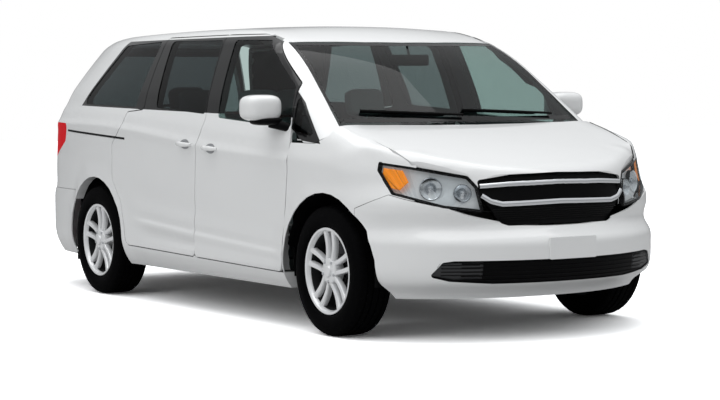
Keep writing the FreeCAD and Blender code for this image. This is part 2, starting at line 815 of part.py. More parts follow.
centre_post = wall(upper_body, centre_grid, lambda p: door_depth(p) + shut_gap, lambda p: door_depth(p) + 50)
centre_post = centre_post.common(prism([(96, 300), (196, 300), (216, 1180), (186, 1700), (106, 1700), (126, 1180)],
                                       "y", 300, far))
side_parts = [quarter, rail, sill, pillar_part, hinge_post, pillar_foot, centre_post]
for z in door_hinge_z:
    for low in (z - 36, z + 22):
        side_parts.append(box(door_axis_x - 13, door_axis_x + 13, hinge_post_y + 60, door_axis_y, low, low + 14))
        side_parts.append(rod((door_axis_x, door_axis_y, low), (door_axis_x, door_axis_y, low + 14),
                              hinge_knuckle_radius))
    side_parts.append(rod((door_axis_x, door_axis_y, z - 36), (door_axis_x, door_axis_y, z + 36), hinge_pin_radius))
side_frame = join(side_parts)
print("frame solids", [round(k.Volume / 1e6, 2) for k in side_frame.Solids])
save("side_frame_left", side_frame)
save("side_frame_right", mirrored(side_frame))

# Tailgate
tail_rays = []
for i in range(19):
    a = 180 - 40 + 80 * i / 18.0
    row = [(V(-1500, 0, z), heading(a, 0)) for z in (640, 690, 760, 850, 950, 1050, 1150, 1250, 1350, 1430)]
    row += [(V(-1500, 0, 1430), heading(a, e)) for e in (6, 12, 17, 21, 25, 29, 33)]
    tail_rays.append(row)
tailgate_glass_outline = [(-640, 1190), (640, 1190), (560, 1400), (470, 1590), (-470, 1590), (-560, 1400)]
tailgate_glass_prism = prism(tailgate_glass_outline, "x", -3000, -1800, 40)
tailgate_slab = wall(upper_body, tail_rays, 0.0, tailgate_wall).common(tailgate_zone)
tailgate = tailgate_slab.cut(tailgate_glass_prism)
for s in (1, -1):
    y = s * tailgate_hinge_y
    for y0 in (y - 41, y + 25):
        tailgate = tailgate.cut(box(tailgate_axis_x - 22, tailgate_axis_x + 20, y0, y0 + 16, tailgate_axis_z - 24,
                                    tailgate_axis_z + 40))
    tailgate = tailgate.cut(rod((tailgate_axis_x, y - 40, tailgate_axis_z), (tailgate_axis_x, y + 40, tailgate_axis_z),
                                small_pin_radius + pin_gap))
tailgate_glass = wall(upper_body, tail_rays, glass_inset, glass_inset + glass_wall).common(tailgate_glass_prism)
save("tailgate", tailgate)
save("tailgate_glass", tailgate_glass)

# Tail lamps on the rear corners
lamp_rows = (860, 900, 950, 1000, 1050, 1090, 1110, 1130, 1150, 1180)
lamp_grid = side_grid((-1700, -1740), lambda x: lamp_rows, (), corner_turn)
tail_lamp = wall(upper_body, lamp_grid, 0.0, 50.0).common(tail_lamp_prism).cut(tailgate_hole)
tail_lamp = largest(tail_lamp)
save("tail_lamps", solids([tail_lamp, mirrored(tail_lamp)]))

# Rear bumper
bumper_rays = []
for i in range(41):
    a = 102 + 156 * i / 40.0
    bumper_rays.append([(V(-1500, 0, z), heading(a, 0)) for z in (235, 270, 320, 380, 450, 520, 590, 640, 690)])
rear_bumper = wall(tail_body, bumper_rays, 0.0, 8.0)
rear_bumper = rear_bumper.common(rear_bumper_zone).cut(arch_cut(rear_arch)).cut(mirrored(arch_cut(rear_arch)))
save("rear_bumper", largest(rear_bumper))

# Nose panels share one fan of rays
nose_centre_x = 1900.0
low_rows = (235, 270, 300, 335, 380, 440, 500, 545, 575, 605, 640, 680, 740, 810)
high_rows = (560, 600, 640, 680, 720, 760, 800)
nose_turn = (7, 14, 21, 28, 35)


def nose_rays(first, last, count, rows, turn=()):
    grid = []
    for a in stations(first, last, count):
        row = [(V(nose_centre_x, 0, z), heading(a, 0)) for z in rows]
        row += [(V(nose_centre_x, 0, rows[-1]), heading(a, e)) for e in turn]
        grid.append(row)
    return grid


lamp_edge = [(2007, 863, 961), (2142, 753, 937), (2334, 517, 883), (2372, 481, 829), (2409, 468, 701),
             (2311, 656, 727), (2099, 842, 796), (2004, 868, 920)]
lamp_direction = V(0.80, 0.60, 0.05)
lamp_prism = slanted_prism(lamp_edge, lamp_direction, 330.0)
lamp_hole = slanted_prism(lamp_edge, lamp_direction, 330.0, panel_gap)
grille_outline = [(-476, 866), (-470, 780), (-364, 640), (-330, 628), (330, 628), (364, 640), (470, 780),
                  (476, 866), (300, 892), (0, 899), (-300, 892)]
grille_prism = prism(grille_outline, "x", 2200, 2700, 16)
grille_hole = prism(grille_outline, "x", 2200, 2700, 16, panel_gap)
lower_grille_outline = [(-745, 364), (-690, 440), (-640, 448), (640, 448), (690, 440), (745, 364),
                        (650, 338), (440, 322), (-440, 322), (-650, 338)]
lower_grille_prism = prism(lower_grille_outline, "x", 2100, 2700, 16)
bumper_top = [(1900, 100), (2700, 100), (2700, 600), (2480, 618), (2440, 630), (2330, 722), (2100, 792),
              (2063, 775), (1920, 716)]
bumper_zone = prism(bumper_top, "y", -1300, 1300)
nose_low_wall = wall(lower_body, nose_rays(-98, 98, 51, low_rows), 0.0, 8.0)
arches = arch_cut(front_arch).fuse(mirrored(arch_cut(front_arch)))
lamp_holes = lamp_hole.fuse(mirrored(lamp_hole))
front_bumper = nose_low_wall.common(bumper_zone).cut(arches).cut(grille_hole).cut(lamp_holes)
front_bumper = largest(front_bumper.cut(lower_grille_prism))
plate_pad = box(half_length - 14, half_length, -plate_half_width, plate_half_width, plate_z - 60, plate_z + 56)
plate_pad = plate_pad.makeFillet(6, [e for e in plate_pad.Edges if abs(e.Vertexes[0].X - e.Vertexes[-1].X) > 1])
front_bumper = join([front_bumper, plate_pad])
save("front_bumper", front_bumper)
lamp_wall = wall(lower_body, nose_rays(36, 94, 12, high_rows, nose_turn), 0.0, 60.0)
headlamp = largest(lamp_wall.common(lamp_prism))
save("headlamps", solids([headlamp, mirrored(headlamp)]))
hood_plan = [(1560, 858), (1680, 853), (2055, 804), (2146, 750), (2336, 516), (2372, 478), (2412, 300),
             (2448, 0)]
hood_plan = hood_plan + [(p[0], -p[1]) for p in reversed(hood_plan[:-1])]
grille_body = wall(lower_body, nose_rays(-54, 54, 23, high_rows, nose_turn), 22.0, 50.0).common(grille_prism)
grille_body = largest(grille_body.cut(lamp_holes))
lower_grille = wall(lower_body, nose_rays(-66, 66, 25, low_rows[:9]), 12.0, 32.0)
lower_grille = largest(lower_grille.common(prism(lower_grille_outline, "x", 2100, 2700, 16, 12.0)))
save("grilles", solids([grille_body, lower_grille]))

# Bonnet
hood_rays = []
hood_reach = spline([(1540, 880), (1900, 872), (2010, 835), (2080, 790)])
for f in stations(-1, 1, 19):
    row = [(V(x, f * hood_reach(x), 700), V(0, 0, 1)) for x in (1540, 1620, 1720, 1820, 1920, 2010, 2080)]
    row += [(V(2080, f * hood_reach(2080), 700), heading(0, 90 - e)) for e in (9, 18, 27, 36, 45, 53, 60, 66)]
    hood_rays.append(row)


def hood_only(x, y, z):
    side = side_face(x, y, z)
    f = soft_max(hood_face(x, y, z), nose_face(x, y, z), 45)
    return max(soft_max(f, side, 85), soft_max(nose_face(x, y, z), side, 110))


screen_foot = prism([(1580, 900), (1630, 640), (1672, 300), (1686, 0), (1672, -300), (1630, -640), (1580, -900),
                     (1200, -900), (1200, 900)], "z", 600, 1500)
hood_prism = prism(hood_plan, "z", 600, 1500, 6)
hood = wall(hood_only, hood_rays, 0.0, hood_wall).common(hood_prism).cut(screen_foot)
hood = largest(hood.cut(lamp_holes).cut(grille_hole))
hood_arms = []
for s in (1, -1):
    y = s * hood_hinge_y
    arm = box(hood_axis_x, hood_axis_x + 90, y - 12, y + 12, hood_axis_z - 10, hood_axis_z + 10)
    arm = arm.fuse(box(hood_axis_x + 60, hood_axis_x + 90, y - 12, y + 12, hood_axis_z - 10, hood_axis_z + 32))
    arm = arm.fuse(rod((hood_axis_x, y - 12, hood_axis_z), (hood_axis_x, y + 12, hood_axis_z), 10))
    hood_arms.append(arm.cut(rod((hood_axis_x, y - 20, hood_axis_z), (hood_axis_x, y + 20, hood_axis_z),
                                 small_pin_radius + pin_gap)))
hood = join([hood] + hood_arms)
save("hood", hood)

# Front wings
fender_grid = []
fender_rows = [232, 262, 300, 345, 400, 460, 540, 620, 700, 780, 850]
for x in (1180, 1250, 1330, 1420, 1510, 1600, 1690, 1780, 1870, 1950):
    fender_grid.append([(V(x, 520, z), heading(90, 0)) for z in fender_rows]
                       + [(V(x, 520, 850), heading(90, e)) for e in (7, 14, 21, 28, 35, 42, 49)])
for a in (85, 79, 72, 65, 58, 51, 44):
    fender_grid.append([(V(1950, 520, z), heading(a, 0)) for z in fender_rows]
                       + [(V(1950, 520, 850), heading(a, e)) for e in (7, 14, 21, 28, 35, 42, 49)])
hood_hole = prism(hood_plan, "z", 600, 1500, 6, panel_gap + 1.5)
fender_wall = wall(lower_body, fender_grid, 0.0, skin)
bumper_hole = prism(bumper_top, "y", -1300, 1300, 0.0, panel_gap)
fender_zone = prism([(1169, 238), (1169, 1057), (1500, 1055), (1604, 1100), (1604, 1300), (2700, 1300),
                     (2700, 238)], "y", 300, far)
fender = fender_wall.common(fender_zone).cut(arch_cut(front_arch)).cut(bumper_hole).cut(lamp_hole)
hood_swing = hood_hole.copy()
hood_swing.translate(V(shut_gap, 0, 0))
fender = largest(fender.cut(hood_hole).cut(hood_swing).cut(front_door_hole))
save("fender_left", fender)
save("fender_right", mirrored(fender))

# Floor pan with bulkhead and wheel housings
floor_z = 330.0
floor_wall = 30.0
bulkhead_x = 1146.0
housing_y = 640.0
housing_wall = 15.0
floor_half = [(bulkhead_x, 872), (-1790, 872), (-2000, 790), (-2290, 660)]
floor_plate = prism(floor_half + [(p[0], -p[1]) for p in reversed(floor_half)], "z", floor_z - floor_wall, floor_z)
bulkhead = box(bulkhead_x, bulkhead_x + 30, -790, 790, floor_z - floor_wall, 1060)
floor = floor_plate.fuse(bulkhead)
for s in (1, -1):
    for y_in, grow, top in ((housing_y, 0.0, 800.0), (housing_y + housing_wall, housing_wall, 785.0)):
        ys = sorted((s * y_in, s * (930.0 if grow else 900.0)))
        low = 180.0 if grow else floor_z - floor_wall
        block = box(-1800 + grow, -930 - grow, ys[0], ys[1], low, top)
        floor = floor.cut(block) if grow else floor.fuse(block)
cowl = prism([(bulkhead_x, 780), (1490, 780), (1560, 600), (1590, 300), (1596, 0), (1590, -300), (1560, -600),
              (1490, -780), (bulkhead_x, -780)], "z", 1040, 1060)
beam_x = 2310.0
extras = [cowl]
side_frame_pair = side_frame.fuse(mirrored(side_frame))
front_door_pair = front_door.fuse(mirrored(front_door))
for s in (1, -1):
    extras += hinge_set(hood_axis_x, s * hood_hinge_y, hood_axis_z, 18, small_pin_radius, 6, -80, 60, 8)
    ys = sorted((s * 430, s * 500))
    extras.append(box(bulkhead_x, beam_x + 5, ys[0], ys[1], 420, 500))
extras.append(box(beam_x, beam_x + 35, -540, 540, 430, 520))


# Bracket from the floor pan out to a panel, cut to the panel's inner face
def bracket(block, panels):
    for panel in panels:
        block = block.cut(panel)
    return min(block.Solids, key=lambda piece: abs(piece.CenterOfMass.x) + abs(piece.CenterOfMass.y))


for s in (1, -1):
    ys = sorted((s * 430, s * 500))
    extras.append(bracket(box(beam_x + 30, 2700, ys[0], ys[1], 460, 500), [front_bumper, lower_grille]))
    ys = sorted((s * 440, s * 500))
    extras.append(box(2140, 2190, ys[0], ys[1], 490, 845))
    ys = sorted((s * 440, s * 900))
    lamp = headlamp if s > 0 else mirrored(headlamp)
    wing = fender if s > 0 else mirrored(fender)
    extras.append(bracket(box(2140, 2190, ys[0], ys[1], 820, 845), [lamp, wing, front_bumper]))
    ys = sorted((s * 740, s * 1050))
    extras.append(bracket(box(1400, 1460, ys[0], ys[1], 1040, 1054), [wing, front_door_pair, side_frame_pair]))
    ys = sorted((s * 500, s * 580))
    extras.append(bracket(box(-2700, -2240, ys[0], ys[1], floor_z - floor_wall, floor_z), [rear_bumper]))
extras.append(box(beam_x, beam_x + 35, -40, 40, 500, 720))
extras.append(bracket(box(beam_x, 2700, -40, 40, 690, 720), [grille_body, front_bumper]))
floor = join([floor] + extras).cut(side_frame_pair)
print("floor", [round(k.Volume / 1e6, 2) for k in floor.Solids])
floor = largest(floor)
save("floor_pan", floor)

# Arch liners, open towards the wheel
liners = []
for s in (1, -1):
    ring = rod((front_axle_x, s * 520, wheel_radius), (front_axle_x, s * 925, wheel_radius), 436.0)
    ring = ring.cut(rod((front_axle_x, s * 500, wheel_radius), (front_axle_x, s * 960, wheel_radius), 431.0))
    ring = ring.cut(box(front_axle_x - 600, front_axle_x + 600, -1200, 1200, -200, 300))
    ring = ring.cut(fender).cut(mirrored(fender)).cut(front_bumper).cut(floor)
    liners.append(largest(ring.cut(front_door).cut(mirrored(front_door)).cut(side_frame).cut(mirrored(side_frame))))
save("arch_liners", solids(liners))

# Engine with its gearbox, as one block
save("engine_block", box(1500, 2180, -400, 400, 420, 960))

# Dashboard and steering wheel
dash_profile = [(bulkhead_x, 560), (bulkhead_x, 1040), (1110, 1090), (900, 1060), (800, 980), (820, 860), (950, 560)]
dash = prism(dash_profile, "y", -760, 760, 20)
save("dashboard", dash)
wheel_axis = V(-0.9, 0, 0.43)
wheel_axis.normalize()
wheel_centre = V(720, 390, 1010)
ring = Part.makeTorus(185, 15, wheel_centre, wheel_axis)
hub = Part.makeCylinder(60, 50, wheel_centre - wheel_axis * 25, wheel_axis)
column = Part.makeCylinder(28, 250, wheel_centre - wheel_axis * 240, wheel_axis)
side_dir = V(0, 1, 0)
up_dir = wheel_axis.cross(side_dir)
spokes = []
for d in (side_dir, side_dir * -1, up_dir * -1):
    spokes.append(Part.makeCylinder(12, 186, wheel_centre, d))
save("steering_wheel", largest(join([ring, hub, column] + spokes).cut(dash)))


# Seats as plain closed forms
def seat(x, y, width, base):
    cushion = rounded_box(x - 270, x + 250, y - width / 2, y + width / 2, base, base + 130, 40)
    back = rounded_box(-70, 70, -width / 2, width / 2, 0, 640, 45)
    back.rotate(V(0, 0, 0), V(0, 1, 0), -14)
    back.translate(V(x - 270, y, base + 60))
    rest = rounded_box(-45, 45, -130, 130, 0, 170, 40)
    rest.rotate(V(0, 0, 0), V(0, 1, 0), -14)
    rest.translate(V(x - 300 - 155, y, base + 700))
    post = rod((x - 300 - 138, y, base + 640), (x - 300 - 172, y, base + 780), 12)
    stand = box(x - 220, x + 200, y - width / 2 + 60, y + width / 2 - 60, floor_z, base + 20)
    return join([cushion, back, rest, post, stand])


save("front_seats", solids([seat(300, 390, 500, 480), seat(300, -390, 500, 480)]))
save("middle_seats", solids([seat(-590, 370, 480, 480), seat(-590, -370, 480, 480)]))
save("rear_seats", solids([seat(-1480, 0, 1080, 500)]))


# Wheels
def revolve(points, x, y):
    wire = Part.makePolygon([V(0, p[0], p[1]) for p in points] + [V(0, points[0][0], points[0][1])])
    shape = Part.Face(wire).revolve(V(0, 0, 0), V(0, 1, 0), 360)
    shape.translate(V(x, y, wheel_radius))
    return shape


half_tyre = wheel_width / 2
bead_y = half_tyre - 26
flange_y = half_tyre - 15
seat_radius = rim_radius - 11
tyre_profile = [(-half_tyre + 18, wheel_radius - 10), (-half_tyre + 40, wheel_radius),
                (half_tyre - 40, wheel_radius), (half_tyre - 18, wheel_radius - 10),
                (half_tyre, wheel_radius - 60), (half_tyre - 6, 250), (bead_y, rim_radius + 1),
                (bead_y, seat_radius + 0.5), (-bead_y, seat_radius + 0.5), (-bead_y, rim_radius + 1),
                (-half_tyre + 6, 250), (-half_tyre, wheel_radius - 60)]
barrel_profile = [(-bead_y - 0.4, seat_radius), (bead_y + 0.4, seat_radius), (bead_y + 0.4, rim_radius),
                  (flange_y, rim_radius), (flange_y, rim_radius - 22), (-flange_y, rim_radius - 22),
                  (-flange_y, rim_radius), (-bead_y - 0.4, rim_radius)]


def wheel(x, y, side):
    tyre = revolve(tyre_profile, x, y)
    barrel = revolve(barrel_profile, x, y)
    face = y + side * (half_tyre - 24)
    centre = rod((x, face - side * 45, wheel_radius), (x, face, wheel_radius), 72)
    parts = [barrel, centre]
    for k in range(5):
        for off in (-11.0, 11.0):
            blade = [(-11, 60), (11, 60), (15, 150), (21, rim_radius - 16), (-21, rim_radius - 16), (-15, 150)]
            spoke = prism(blade, "y", -16, 16)
            spoke.rotate(V(0, 0, 0), V(0, 1, 0), 72 * k + off)
            spoke.translate(V(x, face - side * 18, wheel_radius))
            parts.append(spoke)
    disc = rod((x, face - side * 45, wheel_radius), (x, face - side * 110, wheel_radius), 70)
    plate = rod((x, face - side * 82, wheel_radius), (x, face - side * 108, wheel_radius), 150)
    parts += [disc, plate]
    rim = join(parts)
    rim = rim.cut(rod((x, face - side * 60, wheel_radius), (x, face - side * 120, wheel_radius), 28))
    return tyre, rim


corners = [("front_left", front_axle_x, 1), ("front_right", front_axle_x, -1),
           ("rear_left", rear_axle_x, 1), ("rear_right", rear_axle_x, -1)]
for name, x, s in corners:
    tyre, rim = wheel(x, s * track_half, s)
    save("tyre_" + name, tyre)
    save("rim_" + name, rim)

# Steering knuckles, with spindle and strut
spindle_tip = track_half + half_tyre - 24 - 62
steer_y = 785.0
upright_low = 262.0
for name, s in (("left", 1), ("right", -1)):
    spindle = rod((front_axle_x, s * 745, wheel_radius), (front_axle_x, s * spindle_tip, wheel_radius),
                  28 - pin_gap)
    ys = sorted((s * (steer_y - 40), s * (steer_y + 25)))
    upright = box(front_axle_x - 36, front_axle_x + 36, ys[0], ys[1], upright_low, 470)
    ys = sorted((s * 668, s * (steer_y - 20)))
    bracket = box(front_axle_x - 32, front_axle_x + 32, ys[0], ys[1], 420, 500)
    strut = rod((front_axle_x, s * 692, 480), (front_axle_x, s * 692, 745), 26)
    save("knuckle_" + name, join([spindle, upright, bracket, strut]))

# Front subframe with lower arms
cradle_z = 330.0
cradle = box(1380, 1980, -430, 430, 250, cradle_z)
arms = [cradle]
for s in (1, -1):
    foot = (front_axle_x, s * steer_y, 225)
    arms.append(rod((1500, s * 420, 290), foot, 18))
    arms.append(rod((1850, s * 420, 290), foot, 18))
    arms.append(rod((front_axle_x, s * steer_y, 205), (front_axle_x, s * steer_y, upright_low - pin_gap), 22))
    for x0 in (1400, 1900):
        ys = sorted((s * 400, s * 500))
        arms.append(box(x0, x0 + 60, ys[0], ys[1], 290, 420))
save("front_subframe", join(arms))

# Rear axle beam with spindles
beam_z = 248.0
rear_parts = [rod((rear_axle_x + 60, -730, beam_z), (rear_axle_x + 60, 730, beam_z), 40)]
for s in (1, -1):
    rear_parts.append(rod((rear_axle_x, s * 690, wheel_radius), (rear_axle_x, s * spindle_tip, wheel_radius),
                          28 - pin_gap))
    ys = sorted((s * 672, s * 735))
    rear_parts.append(box(rear_axle_x - 50, rear_axle_x + 110, ys[0], ys[1], 220, 400))
    ys = sorted((s * 560, s * 620))
    rear_parts.append(box(rear_axle_x + 30, rear_axle_x + 480, ys[0], ys[1], 222, 280))
    rear_parts.append(box(rear_axle_x + 420, rear_axle_x + 480, ys[0], ys[1], 260, floor_z - floor_wall))
save("rear_axle", join(rear_parts))

# Fuel tank and exhaust
save("fuel_tank", rounded_box(-780, -130, 60, 620, floor_z - floor_wall - 150, floor_z - floor_wall, 25))
silencer = rounded_box(-2200, -1500, -420, -60, 190, floor_z - floor_wall, 40)
pipe_points = [(1370, 240), (-1170, 240), (-1265, 180), (-1380, 180), (-1520, 240)]
pipes = [silencer, rod((-2180, -300, 250), (-2480, -300, 250), 28),
         box(900, 960, -215, -185, 255, floor_z - floor_wall)]
for i in range(4):
    pipes.append(rod((pipe_points[i][0], -200, pipe_points[i][1]), (pipe_points[i + 1][0], -200, pipe_points[i + 1][1]),
                     22))
    pipes.append(Part.makeSphere(22, V(pipe_points[i + 1][0], -200, pipe_points[i + 1][1])))
save("exhaust", join(pipes))

# Door mirrors
for name, s in (("left", 1), ("right", -1)):
    cap = rounded_box(980, 1170, 990, 1186, 1164, 1304, 48)
    foot = box(1085, 1165, 930, 1030, 1096, 1140).fuse(box(1070, 1140, 1000, 1060, 1115, 1200))
    m = join([cap, foot]).cut(wall(upper_body, front_door_grid, 0.0, door_depth))
    m = largest(m)
    save("mirror_" + name, m if s > 0 else mirrored(m))
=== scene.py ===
"""Looks of the minivan: finishes, lamps, wheels, trim, cabin and a plain studio."""

import logging
import math
from dataclasses import dataclass, field
from enum import Enum
from itertools import product
from typing import Callable, Sequence

import bpy
from mathutils import Matrix, Vector
from mathutils.bvhtree import BVHTree
from mathutils.geometry import delaunay_2d_cdt


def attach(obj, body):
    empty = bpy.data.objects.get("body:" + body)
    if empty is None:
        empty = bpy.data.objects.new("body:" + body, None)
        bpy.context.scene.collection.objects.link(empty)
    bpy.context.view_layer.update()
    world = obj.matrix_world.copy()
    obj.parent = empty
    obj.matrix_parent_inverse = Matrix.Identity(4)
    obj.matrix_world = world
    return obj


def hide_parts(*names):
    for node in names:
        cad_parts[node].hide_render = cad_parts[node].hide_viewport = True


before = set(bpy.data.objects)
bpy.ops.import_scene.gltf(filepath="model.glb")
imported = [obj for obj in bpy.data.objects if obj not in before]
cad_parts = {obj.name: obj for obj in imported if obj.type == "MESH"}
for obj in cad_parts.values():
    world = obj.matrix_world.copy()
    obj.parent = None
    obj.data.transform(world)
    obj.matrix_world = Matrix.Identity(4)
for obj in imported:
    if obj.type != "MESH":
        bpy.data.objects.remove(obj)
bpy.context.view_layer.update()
log = logging.getLogger("minivan")

# Wheel centres from the CAD: places along the car, across it and above the floor
FRONT_AXLE, REAR_AXLE = 1.622, -1.378
WHEEL_HALF_TRACK, WHEEL_RADIUS = 0.865, 0.360
# How wide half a tyre is, and how far behind its side the hub's face lies
TYRE_HALF_WIDTH, HUB_SETBACK = 0.1175, 0.024

Point = tuple[float, float, float]
Flat = tuple[float, float]
Face = tuple[int, ...]
# A point on a surface and the outward normal there
Spot = tuple[Vector, Vector]
Tree = bpy.types.NodeTree
Socket = bpy.types.NodeSocket


class Side(Enum):
    """Which side of the car a piece is on; the value is the sign of Y."""

    LEFT = 1
    RIGHT = -1

    @property
    def tag(self) -> str:
        """The side as it stands in the names of pieces."""
        return self.name.lower()


def linear(colour: str) -> tuple[float, float, float, float]:
    """Turn an sRGB hex colour into linear RGBA.

    Args:
        colour: Six hex digits after a hash.

    Returns:
        The linear colour with alpha 1.
    """
    parts = [int(colour[i:i + 2], 16) / 255 for i in (1, 3, 5)]
    return (*(c / 12.92 if c <= 0.04045 else ((c + 0.055) / 1.055) ** 2.4 for c in parts), 1.0)


def add_node(tree: Tree, kind: str, settings: dict | None = None,
             inputs: dict | None = None) -> bpy.types.Node:
    """Add one shader node.

    Args:
        tree: The node tree that gets the node.
        kind: Blender's node type name.
        settings: Properties of the node to set.
        inputs: Input name or number to a value or to the output socket that feeds it.

    Returns:
        The new node.
    """
    node = tree.nodes.new(kind)
    for name, value in (settings or {}).items():
        setattr(node, name, value)
    for name, value in (inputs or {}).items():
        if isinstance(value, Socket):
            tree.links.new(value, node.inputs[name])
        else:
            node.inputs[name].default_value = value
    return node


def maths(tree: Tree, operation: str, *values: float | Socket) -> Socket:
    """Add one maths node.

    Args:
        tree: The node tree that gets the node.
        operation: Blender's name of the sum.
        values: Numbers or outputs, in the node's own order.

    Returns:
        The result's output.
    """
    return add_node(tree, "ShaderNodeMath", {"operation": operation}, dict(enumerate(values))).outputs[0]


def mixed(tree: Tree, share: Socket, first: Socket, second: Socket) -> Socket:
    """Mix two shaders.

    Args:
        tree: The node tree that gets the node.
        share: How much of the second shows, from 0 to 1.
        first: The shader shown at 0.
        second: The shader shown at 1.

    Returns:
        The mixed shader's output.
    """
    return add_node(tree, "ShaderNodeMixShader", {}, {0: share, 1: first, 2: second}).outputs[0]


@dataclass(frozen=True)
class Finish:
    """A real material and how its surface was made."""

    name: str
    colour: str
    roughness: float = 0.5
    metallic: float = 0.0
    ior: float = 1.5
    coat: float = 0.0
    grain_mm: float = 0.0
    grain_height: float = 0.15
    speckle: float = 0.0
    # Emission in the finish's own colour: a painted glow
    glow: float = 0.0
    shine: float = 0.5

    def build(self) -> bpy.types.Material:
        """Make the Blender material, or give back the one already made.

        Returns:
            The material with its shader nodes.
        """
        found = bpy.data.materials.get(self.name)
        if found is not None:
            return found
        material = bpy.data.materials.new(self.name)
        material.use_nodes = True
        tree = material.node_tree
        tree.nodes.clear()
        shader = self.shader(tree)
        add_node(tree, "ShaderNodeOutputMaterial", {}, {"Surface": shader})
        return material

    def bump(self, tree: Tree) -> Socket | None:
        """Add the fine grain as a bump.

        Args:
            tree: The material's node tree.

        Returns:
            The normal output, or None where the finish has no grain.
        """
        if not self.grain_mm:
            return None
        place = add_node(tree, "ShaderNodeTexCoord")
        noise = add_node(tree, "ShaderNodeTexNoise", {}, {
            "Vector": place.outputs["Object"], "Scale": 1000 / self.grain_mm, "Detail": 3.0})
        return add_node(tree, "ShaderNodeBump", {}, {
            "Height": noise.outputs["Fac"], "Strength": self.grain_height,
            "Distance": self.grain_mm * 0.001}).outputs["Normal"]

    def base(self, tree: Tree) -> Socket | None:
        """Colour that varies over the surface, where the finish has speckle.

        Args:
            tree: The material's node tree.

        Returns:
            The colour output, or None for an even colour.
        """
        if not self.speckle:
            return None
        place = add_node(tree, "ShaderNodeTexCoord")
        noise = add_node(tree, "ShaderNodeTexNoise", {}, {
            "Vector": place.outputs["Object"], "Scale": 240.0, "Detail": 4.0})
        low = linear(self.colour)
        high = tuple(min(1.0, c * (1 + self.speckle) + 0.02 * self.speckle) for c in low[:3]) + (1.0,)
        return add_node(tree, "ShaderNodeMix", {"data_type": "RGBA"}, {
            0: noise.outputs["Fac"], 6: low, 7: high}).outputs[2]

    def shader(self, tree: Tree) -> Socket:
        """Build the principled shader.

        Args:
            tree: The material's node tree.

        Returns:
            The shader's output.
        """
        inputs = {"Base Color": linear(self.colour), "Roughness": self.roughness, "Metallic": self.metallic,
                  "IOR": self.ior, "Specular IOR Level": self.shine, "Coat Weight": self.coat,
                  "Coat Roughness": 0.04}
        if self.glow:
            inputs["Emission Color"] = linear(self.colour)
            inputs["Emission Strength"] = self.glow
        normal = self.bump(tree)
        if normal is not None:
            inputs["Normal"] = normal
        colour = self.base(tree)
        if colour is not None:
            inputs["Base Color"] = colour
        return add_node(tree, "ShaderNodeBsdfPrincipled", {}, inputs).outputs["BSDF"]


@dataclass(frozen=True)
class Pane(Finish):
    """Thin window glass: a tinted see-through sheet with a mirror sheen that grows at a glancing angle."""

    def shader(self, tree: Tree) -> Socket:
        """Mix a tinted transparent sheet with a glossy one by Fresnel.

        Args:
            tree: The material's node tree.

        Returns:
            The shader's output.
        """
        clear = add_node(tree, "ShaderNodeBsdfTransparent", {}, {"Color": linear(self.colour)})
        gloss = add_node(tree, "ShaderNodeBsdfGlossy", {}, {"Color": (0.5, 0.5, 0.5, 1), "Roughness": 0.02})
        fresnel = add_node(tree, "ShaderNodeFresnel", {}, {"IOR": self.ior})
        face = add_node(tree, "ShaderNodeNewGeometry")
        front = maths(tree, "SUBTRACT", 1.0, face.outputs["Backfacing"])
        sheen = maths(tree, "MULTIPLY", fresnel.outputs[0], front)
        return mixed(tree, sheen, clear.outputs[0], gloss.outputs[0])


@dataclass(frozen=True)
class PanelPaint(Finish):
    """Body paint with the black window surround outside, cabin trim inside and painted shade on deep low
    faces.
    """

    black: str = "#0B0B0C"
    trim: str = "#5B5B5D"
    edges: tuple[tuple[Flat, Flat], ...] = ()
    bent: bool = False
    inward: float = -0.35
    shade_width: float = 0.0
    shade_top: float = 1.10
    shade_rear: float = -1.80

    def mask(self, tree: Tree, place: Socket) -> Socket:
        """Find whether a point lies inside the window band.

        Where the lower line is bent, the first two edges form it, and a point has to clear only one of them.

        Args:
            tree: The material's node tree.
            place: Position in the part's frame.

        Returns:
            An output that is 1 inside the band and 0 outside.
        """
        parts = add_node(tree, "ShaderNodeSeparateXYZ", {}, {0: place})
        worst = None
        for index, ((x0, z0), (x1, z1)) in enumerate(self.edges):
            size = math.hypot(x1 - x0, z1 - z0)
            a, b = (z0 - z1) / size, (x1 - x0) / size
            first = maths(tree, "MULTIPLY_ADD", parts.outputs[0], a, -(a * x0 + b * z0))
            beyond = maths(tree, "MULTIPLY_ADD", parts.outputs[2], b, first)
            keep = "MINIMUM" if self.bent and index == 1 else "MAXIMUM"
            worst = beyond if worst is None else maths(tree, keep, worst, beyond)
        return maths(tree, "LESS_THAN", worst, 0.0)

    def shader(self, tree: Tree) -> Socket:
        """Build the paint, mixed with gloss black, cabin trim and painted shade by place.

        Args:
            tree: The material's node tree.

        Returns:
            The shader's output.
        """
        place = add_node(tree, "ShaderNodeTexCoord")
        paint = Finish(self.name, self.colour, self.roughness, coat=self.coat).shader(tree)
        if self.edges:
            black = Finish("", self.black, 0.12, coat=0.2, shine=0.3).shader(tree)
            paint = mixed(tree, self.mask(tree, place.outputs["Object"]), paint, black)
        point = add_node(tree, "ShaderNodeSeparateXYZ", {}, {0: place.outputs["Object"]})
        normal = add_node(tree, "ShaderNodeSeparateXYZ", {}, {0: place.outputs["Normal"]})
        outward = maths(tree, "MULTIPLY", point.outputs[1], normal.outputs[1])
        inside = maths(tree, "LESS_THAN", outward, self.inward)
        lined = mixed(tree, inside, paint, Finish("", self.trim, 0.65, grain_mm=1.2).shader(tree))
        if not self.shade_width:
            return lined
        # Faces deep inside the side, below the belt, get near black: painted shade between the parts
        deep = maths(tree, "LESS_THAN", maths(tree, "ABSOLUTE", point.outputs[1]), self.shade_width)
        low = maths(tree, "LESS_THAN", point.outputs[2], self.shade_top)
        ahead = maths(tree, "GREATER_THAN", point.outputs[0], self.shade_rear)
        shaded = maths(tree, "MULTIPLY", maths(tree, "MULTIPLY", deep, low), ahead)
        return mixed(tree, shaded, lined, Finish("", "#1D1D1E", 0.7).shader(tree))


